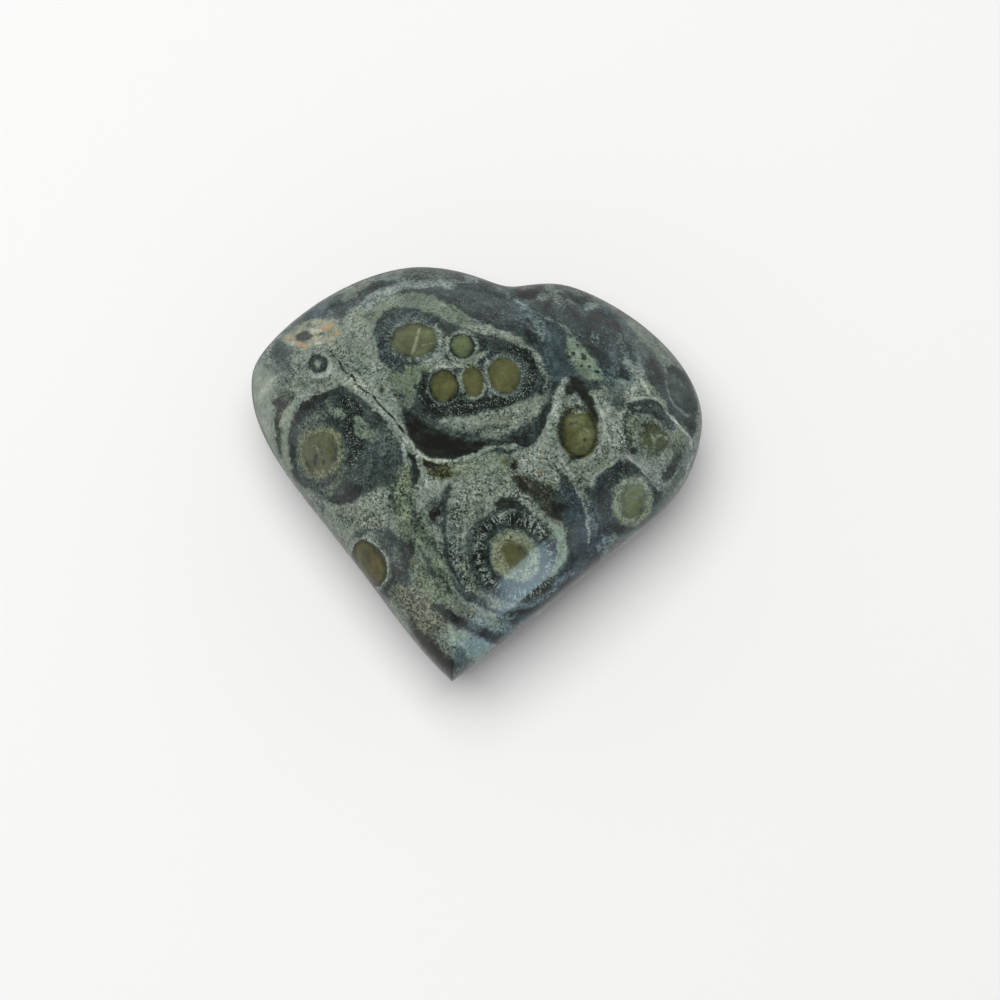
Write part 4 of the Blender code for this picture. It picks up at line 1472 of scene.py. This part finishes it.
def speckle_group():
    """Mineral grains: pale crumbs of uneven shape over dark, the denser the lighter the rock's tone is."""
    inputs = (("Place", "Vector"), ("Size", "Float"), ("Tone", "Float"))
    group, nodes, given = new_group("mineral speckle", inputs, "Speck")
    scale = nodes.math("DIVIDE", 1.0, given["Size"])
    lean = nodes.math("SUBTRACT", given["Tone"], 0.45)
    shape = nodes.noise(given["Place"], scale, 2.0, 0.55, 0.3)
    body = nodes.between(nodes.math("MULTIPLY_ADD", lean, CRUMB_LEAN, shape), *CRUMB_EDGE)
    shade = nodes.noise(given["Place"], nodes.math("MULTIPLY", scale, 0.8), 1.0, 0.5)
    uneven = nodes.math("MULTIPLY", nodes.between(shade, 0.3, 0.7, 0.65, 1.3), body)
    fill = nodes.math("MULTIPLY_ADD", lean, CRUMB_FILL, CRUMB_MIDDLE)
    nodes.link(nodes.math("SUBTRACT", uneven, fill), nodes.add("NodeGroupOutput").inputs["Speck"])
    return group


def fleck_group():
    """Fine pale flecks in clumps."""
    group, nodes, given = new_group("flecks in soot", (("Place", "Vector"), ("Size", "Float")), "Fleck")
    grains = nodes.noise(given["Place"], nodes.math("DIVIDE", 1.0, given["Size"]), 1.0, 0.5)
    clumps = nodes.noise(given["Place"], 1 / SPECK_CLUMPS, 1.0, 0.5)
    flecks = nodes.math(
        "MULTIPLY", nodes.between(grains, 0.52, 0.66), nodes.between(clumps, 0.34, 0.6, 0.35, 1.0))
    nodes.link(flecks, nodes.add("NodeGroupOutput").inputs["Fleck"])
    return group


def gap_group():
    """The narrow gaps (1) between packed cobbles."""
    group, nodes, given = new_group("gaps between cobbles", (("Place", "Vector"), ("Size", "Float")), "Gap")
    scale = nodes.math("DIVIDE", 1.0, given["Size"])
    edge = nodes.voronoi(given["Place"], scale, "DISTANCE_TO_EDGE").outputs["Distance"]
    nodes.link(nodes.between(edge, 0.02, 0.16, 1.0, 0.0), nodes.add("NodeGroupOutput").inputs["Gap"])
    return group


def crackle_group():
    """Thin dark wandering lines."""
    group, nodes, given = new_group("crackle", (("Place", "Vector"), ("Wave", "Float")), "Line")
    scale = nodes.math("DIVIDE", 1.0, given["Wave"])
    field = nodes.noise(given["Place"], scale, 3.0, 0.6, 0.4)
    from_line = nodes.math("ABSOLUTE", nodes.math("SUBTRACT", field, 0.5))
    where = nodes.noise(given["Place"], nodes.math("MULTIPLY", scale, 0.45), 1.0, 0.5)
    line = nodes.between(from_line, 0.0, CRACKLE_WIDTH, 1.0, 0.0)
    cut = nodes.math("MULTIPLY", line, nodes.between(where, 0.36, 0.56))
    nodes.link(cut, nodes.add("NodeGroupOutput").inputs["Line"])
    return group


def spark_group():
    """Tiny pale crystals; rarity is the share of the stone's cells that has none."""
    inputs = (("Place", "Vector"), ("Spacing", "Float"), ("Rarity", "Float"))
    group, nodes, given = new_group("sparks", inputs, "Spark")
    cells = nodes.voronoi(given["Place"], nodes.math("DIVIDE", 1.0, given["Spacing"]), "F1")
    shade = nodes.add("ShaderNodeSeparateColor")
    nodes.link(cells.outputs["Color"], shade.inputs["Color"])
    dot = nodes.between(cells.outputs["Distance"], 0.2, 0.42, 1.0, 0.0)
    over = nodes.math("SUBTRACT", shade.outputs[1], given["Rarity"])
    nodes.link(nodes.math("MULTIPLY", dot, nodes.between(over, 0.0, 0.3)),
               nodes.add("NodeGroupOutput").inputs["Spark"])
    return group


def around_eye(nodes, given, around, pace):
    """A place that turns round the nearest eye and moves away from it, each at its own pace."""
    drawn = nodes.add("ShaderNodeVectorMath", operation="SCALE")
    nodes.link(given["Way"], drawn.inputs[0])
    drawn.inputs["Scale"].default_value = around
    shift = nodes.add("ShaderNodeCombineXYZ")
    nodes.link(nodes.math("MULTIPLY", given["Gap"], pace), shift.inputs["Z"])
    spread = nodes.add("ShaderNodeVectorMath", operation="ADD")
    nodes.link(drawn.outputs[0], spread.inputs[0])
    nodes.link(shift.outputs[0], spread.inputs[1])
    return spread.outputs[0]


def streak_group():
    """Fine streaks that flow round the eyes."""
    group, nodes, given = new_group(
        "streaks round the eyes", (("Way", "Vector"), ("Gap", "Float")), "Streak")
    streaks = nodes.noise(around_eye(nodes, given, STREAKS_AROUND, STREAK_PACE), 1.0, 3.0, 0.62, 0.2)
    nodes.link(streaks, nodes.add("NodeGroupOutput").inputs["Streak"])
    return group


def needle_group():
    """Fine pale threads that stand out from the edge of an eye and branch."""
    inputs = (("Way", "Vector"), ("Gap", "Float"), ("Place", "Vector"))
    group, nodes, given = new_group("radial needles", inputs, "Spike")
    field = nodes.noise(around_eye(nodes, given, NEEDLES_AROUND, NEEDLE_PACE), 1.0, 2.0, 0.5, 0.5)
    from_line = nodes.math("ABSOLUTE", nodes.math("SUBTRACT", field, 0.5))
    flecks = nodes.noise(given["Place"], 1 / (0.3 * MM), 1.0, 0.5)
    thread = nodes.between(from_line, NEEDLE_WIDTH * 0.25, NEEDLE_WIDTH, 1.0, 0.0)
    broken = nodes.math("MULTIPLY", thread, nodes.between(flecks, 0.36, 0.56, 0.2, 1.0))
    nodes.link(broken, nodes.add("NodeGroupOutput").inputs["Spike"])
    return group


def place_group(nodes, group, **given):
    node = nodes.add("ShaderNodeGroup", group.name)
    node.node_tree = group
    for name, value in given.items():
        nodes.put(value, node.inputs[name.replace("_", " ").title()])
    return node.outputs[0]


def ramp(nodes, value, stops):
    node = nodes.add("ShaderNodeValToRGB", "from black through slate and sage to cream")
    elements = node.color_ramp.elements
    while len(elements) < len(stops):
        elements.new(0.5)
    for element, (place, colour) in zip(elements, stops):
        element.position = place
        element.color = (*colour, 1.0)
    nodes.link(value, node.inputs["Fac"])
    return node.outputs["Color"]


def stone_tone(nodes, place, finish):
    """How light the stone is at each point: the rock's tone, broken up; with its grains and clouds."""
    grain = nodes.field("grain")
    needle = nodes.field("needle")
    gap = nodes.field("gap")
    tone = nodes.field("tone")

    def add(amount, field, size, middle=0.0):
        """Adds to the tone a field around its middle, by a depth and by how much of it this rock shows."""
        even = nodes.math("MULTIPLY", nodes.math("SUBTRACT", field, middle), size)
        return nodes.math("MULTIPLY_ADD", even, amount, tone)

    patchy = nodes.between(nodes.noise(place, 1 / PATCHY_WAVE, 2.0, 0.5), 0.3, 0.7, *PATCHY)
    grain = nodes.math("MULTIPLY", grain, patchy)
    crumbs = place_group(nodes, speckle_group(), place=place, size=finish.grain_size, tone=tone)
    clouds = nodes.noise(place, 1 / CLOUD_WAVE, 3.0, 0.6)
    mottles = nodes.noise(place, 1 / MOTTLE_WAVE, 2.0, 0.6)
    cobbled = nodes.between(grain, *COBBLES)
    loose = nodes.math("MULTIPLY_ADD", cobbled, -0.45, grain)
    tone = add(loose, crumbs, CRUMB_SHARE * finish.grain_contrast)
    tone = add(cobbled, place_group(nodes, gap_group(), place=place, size=COBBLE_SIZE), -COBBLE_GAP, 0.3)
    tone = add(1.0, clouds, CLOUD_DEPTH, 0.5)
    tone = add(nodes.math("MULTIPLY_ADD", grain, 0.6, 0.4), mottles, MOTTLE_DEPTH, 0.5)
    tone = add(1.0, nodes.noise(place, 1 / DUST_WAVE, 1.0, 0.5), DUST_DEPTH, 0.5)
    tone = add(loose, place_group(nodes, crackle_group(), place=place, wave=CRACKLE_WAVE), -CRACKLE_DEPTH)
    dark = nodes.math("MULTIPLY", nodes.between(tone, 0.25, 0.45, 1.0, 0.0), grain)
    sparks = place_group(nodes, spark_group(), place=place, spacing=SPARK_SPACING, rarity=0.8)
    tone = add(dark, sparks, SPARK_TONE)
    tone = add(
        nodes.field("speck"), place_group(nodes, fleck_group(), place=place, size=SPECK_SIZE), SPECK_TONE)
    way = nodes.add("ShaderNodeAttribute", "way", attribute_name="way").outputs["Vector"]
    plain = nodes.math(
        "MULTIPLY", nodes.math("MULTIPLY_ADD", grain, -0.7, 1.0), nodes.between(gap, *EYE_CALM))
    tone = add(plain, place_group(nodes, streak_group(), way=way, gap=gap), STREAK_DEPTH, 0.5)
    tone = add(needle, place_group(nodes, needle_group(), way=way, gap=gap, place=place), SPIKE_TONE)
    return tone, mottles, nodes.math("MULTIPLY", crumbs, grain)


def jasper_material(finish):
    """The polished stone: the rock at each point, broken up by grains, cracks, flecks and needles."""
    material = bpy.data.materials.new("polished_jasper")
    material.use_nodes = True
    nodes = Nodes(material.node_tree)
    surface = material.node_tree.nodes["Principled BSDF"]
    place = nodes.add("ShaderNodeTexCoord").outputs["Object"]
    tone, mottles, crumbs = stone_tone(nodes, place, finish)
    colour = ramp(nodes, tone, STONE_RAMP)
    drift = nodes.math("SUBTRACT", nodes.noise(place, 1 / MOSS_WAVE, 3.0, 0.6), 0.5)
    pale = nodes.between(tone, 0.3, 0.6)
    greener = nodes.math("MULTIPLY", nodes.math("MULTIPLY", drift, MOSS_DEPTH), pale)
    amounts = {name: nodes.field(name) for name, _ in TINTS}
    amounts["moss"] = nodes.math("ADD", amounts["moss"], greener, clamp=True)
    for name, tint in TINTS:
        tinted = nodes.mix(1.0, colour, (*tint, 1.0), "MULTIPLY")
        colour = nodes.mix(amounts[name], colour, tinted)
    flakes = nodes.noise(place, 1 / RUST_FLAKE, 2.0, 0.6)
    rust = nodes.math("MULTIPLY", nodes.field("rust"), nodes.between(flakes, 0.3, 0.56))
    colour = nodes.mix(rust, colour, (*finish.rust_colour, 1.0))
    nodes.link(colour, surface.inputs["Base Color"])
    dull = nodes.math("MULTIPLY_ADD", crumbs, GRAIN_DULLS, finish.polish)
    nodes.link(dull, surface.inputs["Roughness"])
    surface.inputs["IOR"].default_value = finish.ior
    relief = nodes.add("ShaderNodeBump", "the polish left the soft grains lower")
    relief.inputs["Distance"].default_value = RELIEF
    relief.inputs["Strength"].default_value = RELIEF_STRENGTH
    nodes.link(crumbs, relief.inputs["Height"])
    nodes.link(relief.outputs["Normal"], surface.inputs["Normal"])
    return material


def floor_material(colour):
    material = bpy.data.materials.new("pale_paper")
    material.use_nodes = True
    nodes = Nodes(material.node_tree)
    surface = material.node_tree.nodes["Principled BSDF"]
    surface.inputs["Base Color"].default_value = (*colour, 1.0)
    surface.inputs["Roughness"].default_value = 0.9
    surface.inputs["Specular IOR Level"].default_value = 0.1
    return material


def lay_bake_map(mesh):
    """Spreads both sides of the stone out flat in one map, the face much larger than the back."""
    count = len(mesh.vertices)
    places = np.empty(count * 3)
    mesh.vertices.foreach_get("co", places)
    places = places.reshape(-1, 3)
    corners = np.empty(len(mesh.loops), np.int32)
    mesh.loops.foreach_get("vertex_index", corners)
    middles = places[corners].reshape(-1, 3, 3).mean(axis=1)
    back = np.repeat(middles[:, 2] < GIRDLE_HEIGHT, 3)
    offset = places[:, :2] - CROWN
    steep = 1 + MAP_SPREAD * np.abs(places[:, 2] - np.where(places[:, 2] > GIRDLE_HEIGHT,
                                    GIRDLE_HEIGHT + FACE_RISE, 0.0)) / FACE_RISE
    flat = offset * steep[:, None] / MAP_REACH
    chart = flat[corners]
    chart[back] = chart[back] * BACK_MAP_SHARE + BACK_MAP_PLACE
    chart[~back] = chart[~back] * FACE_MAP_SHARE + FACE_MAP_PLACE
    layer = mesh.uv_layers.new(name="OFBake")
    layer.data.foreach_set("uv", chart.astype(np.float32).ravel())


class JasperCut(bpy.types.PropertyGroup):
    """How the stone's surface is made."""

    undulation: FloatProperty(
        name="Polish Undulation", description="How far the hand polish wanders from the true form",
        default=0.09 * MM, min=0.0, max=0.5 * MM, unit="LENGTH", precision=5)
    swell: FloatProperty(
        name="Flank Swelling", description="How high the low swelling on the right flank stands",
        default=0.55 * MM, min=0.0, max=1.5 * MM, unit="LENGTH", precision=5)
    pit_depth: FloatProperty(
        name="Pit Depth", description="How deep the small open pit on the face is",
        default=0.55 * MM, min=0.0, max=2.0 * MM, unit="LENGTH", precision=5)
    pit_radius: FloatProperty(
        name="Pit Radius", description="How wide the small open pit on the face is",
        default=0.85 * MM, min=0.1 * MM, max=3.0 * MM, unit="LENGTH", precision=5)
    crack_depth: FloatProperty(
        name="Crack Depth", description="How deep the hairline crack across the left lobe is",
        default=0.12 * MM, min=0.0, max=0.5 * MM, unit="LENGTH", precision=5)


class JasperFinish(bpy.types.PropertyGroup):
    """How the stone looks."""

    grain_size: FloatProperty(
        name="Grain Size", description="How wide the mineral grains are",
        default=GRAIN_SIZE, min=0.05 * MM, max=2.0 * MM, unit="LENGTH", precision=5)
    grain_contrast: FloatProperty(
        name="Grain Contrast", description="How much lighter the grains are than the gaps between them",
        default=1.0, min=0.0, max=2.0, subtype="FACTOR")
    polish: FloatProperty(
        name="Polish", description="Roughness of the smoothest rock",
        default=0.1, min=0.0, max=1.0, subtype="FACTOR")
    ior: FloatProperty(
        name="IOR", description="Index of refraction of the polished stone", default=1.54, min=1.0, max=2.5)
    rust_colour: FloatVectorProperty(
        name="Rust Colour", description="The orange stains", subtype="COLOR", size=3,
        default=(0.44, 0.29, 0.14), min=0.0, max=1.0)


class JasperStage(bpy.types.PropertyGroup):
    """The floor and the light."""

    floor_colour: FloatVectorProperty(
        name="Floor Colour", description="The pale floor", subtype="COLOR", size=3,
        default=(0.93, 0.93, 0.93), min=0.0, max=1.0)
    sky: FloatProperty(
        name="Surrounding Light", description="Strength of the light from all round", default=0.5)
    key: FloatProperty(
        name="Key Light", description="Power of the soft light overhead, in watts", default=8.0)
    window: FloatProperty(
        name="Window Light", description="Power of the bluish window to the right, in watts", default=0.48)


class JASPER_OT_stone(bpy.types.Operator):
    """Cuts the heart, draws its markings and polishes it"""

    bl_idname = "jasper.stone"
    bl_label = "Cut and Polish the Heart"

    def execute(self, context):
        clear_scene_of("heart_stone")
        mesh = stone_mesh()
        mark_stone(mesh)
        shape_details(mesh, context.scene.jasper_cut)
        lay_bake_map(mesh)
        mesh.materials.append(jasper_material(context.scene.jasper_finish))
        stone = bpy.data.objects.new("heart_stone", mesh)
        context.scene.collection.objects.link(stone)
        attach(stone, "root")
        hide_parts("heart")
        return {"FINISHED"}


class JASPER_OT_stage(bpy.types.Operator):
    """Sets the pale floor, the soft lights and the camera"""

    bl_idname = "jasper.stage"
    bl_label = "Set Floor, Lights and Camera"

    def execute(self, context):
        settings = context.scene.jasper_stage
        for name in ("floor", "key_light", "window_light", "camera"):
            clear_scene_of(name)
        make_floor(settings.floor_colour)
        make_lights(settings)
        make_camera()
        context.scene.view_settings.view_transform = "Standard"
        return {"FINISHED"}


class JASPER_PT_panel(bpy.types.Panel):
    """Lists what the script makes, with the values that change it"""

    bl_label = "Jasper Heart"
    bl_idname = "JASPER_PT_panel"
    bl_space_type = "VIEW_3D"
    bl_region_type = "UI"
    bl_category = "Jasper Heart"

    def draw(self, context):
        scene = context.scene
        for group in (scene.jasper_cut, scene.jasper_finish):
            for name in group.__annotations__:
                self.layout.prop(group, name)
        self.layout.operator("jasper.stone")
        for name in scene.jasper_stage.__annotations__:
            self.layout.prop(scene.jasper_stage, name)
        self.layout.operator("jasper.stage")


def shape_details(mesh, cut):
    """Lets the polish wander a little, and sinks the open pit and the hairline crack."""
    count = len(mesh.vertices)
    places = np.empty(count * 3)
    mesh.vertices.foreach_get("co", places)
    places = places.reshape(-1, 3)
    normals = np.empty(count * 3, np.float32)
    mesh.vertex_normals.foreach_get("vector", normals)
    normals = normals.reshape(-1, 3)
    free = smooth(places[:, 2] / (3 * MM))
    lift = cut.undulation * free * noise(places, 13 * MM, 51)
    spots = in_picture(places)
    on_face = places[:, 2] > GIRDLE_HEIGHT
    lift += cut.swell * swelling(places) * smooth((places[:, 2] - GIRDLE_HEIGHT) / (4 * MM))
    pit_gap = np.hypot(*(spots - PIT_PLACE).T) / PIXELS_PER_MM * MM
    pit = smooth(1.5 - 1.5 * pit_gap / cut.pit_radius) * on_face
    line, along = smooth_line(CRACKS["long crack"]["points"], False)
    close = near(CRACKS["long crack"], spots, 4)
    crack = np.zeros(count)
    crack[close] = smooth(1.6 - to_line(spots[close], line, along)[0])
    lift -= cut.pit_depth * pit + cut.crack_depth * crack * on_face
    moved = places + normals * lift[:, None]
    moved[:, 2] = np.maximum(moved[:, 2], 0.0)
    mesh.vertices.foreach_set("co", moved.astype(np.float32).ravel())
    mesh.update()


def swelling(places):
    """The right flank's low swelling: how high it is at each place, as a share of its top."""
    offset = places[:, :2] - SWELL_PLACE
    along = offset[:, 0] * math.cos(SWELL_TURN) + offset[:, 1] * math.sin(SWELL_TURN)
    across = offset[:, 1] * math.cos(SWELL_TURN) - offset[:, 0] * math.sin(SWELL_TURN)
    return np.exp(-(along / SWELL_SPREAD[0])**2 / 2 - (across / SWELL_SPREAD[1])**2 / 2)


def make_floor(colour):
    half = FLOOR_SIDE / 2
    mesh = bpy.data.meshes.new("floor")
    corners = [(-half, -half, 0), (half, -half, 0), (half, half, 0), (-half, half, 0)]
    mesh.from_pydata(corners, [], [(0, 1, 2, 3)])
    mesh.materials.append(floor_material(colour))
    floor = bpy.data.objects.new("floor", mesh)
    floor.location.z = -FLOOR_GAP
    floor.visible_glossy = False
    bpy.context.scene.collection.objects.link(floor)


def add_lamp(name, place, target, size, power, colour):
    data = bpy.data.lights.new(name, "AREA")
    data.shape = "RECTANGLE"
    data.size, data.size_y = size
    data.energy = power
    data.color = colour
    lamp = bpy.data.objects.new(name, data)
    lamp.location = place
    lamp.rotation_euler = (Vector(target) - Vector(place)).to_track_quat("-Z", "Y").to_euler()
    bpy.context.scene.collection.objects.link(lamp)
    return lamp


def make_lights(settings):
    world = bpy.data.worlds.new("soft_room")
    bpy.context.scene.world = world
    world.use_nodes = True
    nodes = Nodes(world.node_tree)
    sky = world.node_tree.nodes["Background"]
    way = nodes.add("ShaderNodeTexCoord").outputs["Generated"]
    split = nodes.add("ShaderNodeSeparateXYZ")
    nodes.link(way, split.inputs[0])
    above = nodes.between(split.outputs["Z"], SKY_LOW, SKY_HIGH, SKY_EDGE_LIGHT, SKY_TOP_LIGHT)
    level = nodes.blend(nodes.between(split.outputs["Z"], -0.15, 0.05), SKY_UNDER_LIGHT, above)
    nodes.link(nodes.math("MULTIPLY", level, settings.sky), sky.inputs["Strength"])
    sky.inputs["Color"].default_value = (1.0, 1.0, 1.0, 1.0)
    key = add_lamp("key_light", KEY_PLACE, (0, 0, 0), KEY_SIZE, settings.key, KEY_COLOUR)
    key.visible_glossy = False
    window = add_lamp("window_light", WINDOW_PLACE, WINDOW_AIM, WINDOW_SIZE, settings.window, WINDOW_COLOUR)
    rolled = window.rotation_euler.to_matrix() @ Matrix.Rotation(WINDOW_ROLL, 3, "Z")
    window.rotation_euler = rolled.to_euler()
    window.visible_diffuse = False
    window.visible_camera = False


def make_camera():
    place, right, up, back = camera_axes()
    data = bpy.data.cameras.new("camera")
    data.lens = LENS
    data.sensor_width = SENSOR
    data.clip_start = 0.01
    camera = bpy.data.objects.new("camera", data)
    turned = Matrix([(*right,), (*up,), (*back,)]).transposed().to_4x4()
    camera.matrix_world = Matrix.Translation(place) @ turned
    bpy.context.scene.collection.objects.link(camera)
    bpy.context.scene.camera = camera


SETTINGS = (("jasper_cut", JasperCut), ("jasper_finish", JasperFinish), ("jasper_stage", JasperStage))
CLASSES = (JasperCut, JasperFinish, JasperStage, JASPER_OT_stone, JASPER_OT_stage, JASPER_PT_panel)


def register():
    for one in CLASSES:
        bpy.utils.register_class(one)
    for name, group in SETTINGS:
        setattr(bpy.types.Scene, name, PointerProperty(type=group))


def unregister():
    for name, _ in SETTINGS:
        delattr(bpy.types.Scene, name)
    for one in reversed(CLASSES):
        bpy.utils.unregister_class(one)


def main():
    register()
    bpy.ops.jasper.stone()
    bpy.ops.jasper.stage()


if __name__ == "__main__":
    main()
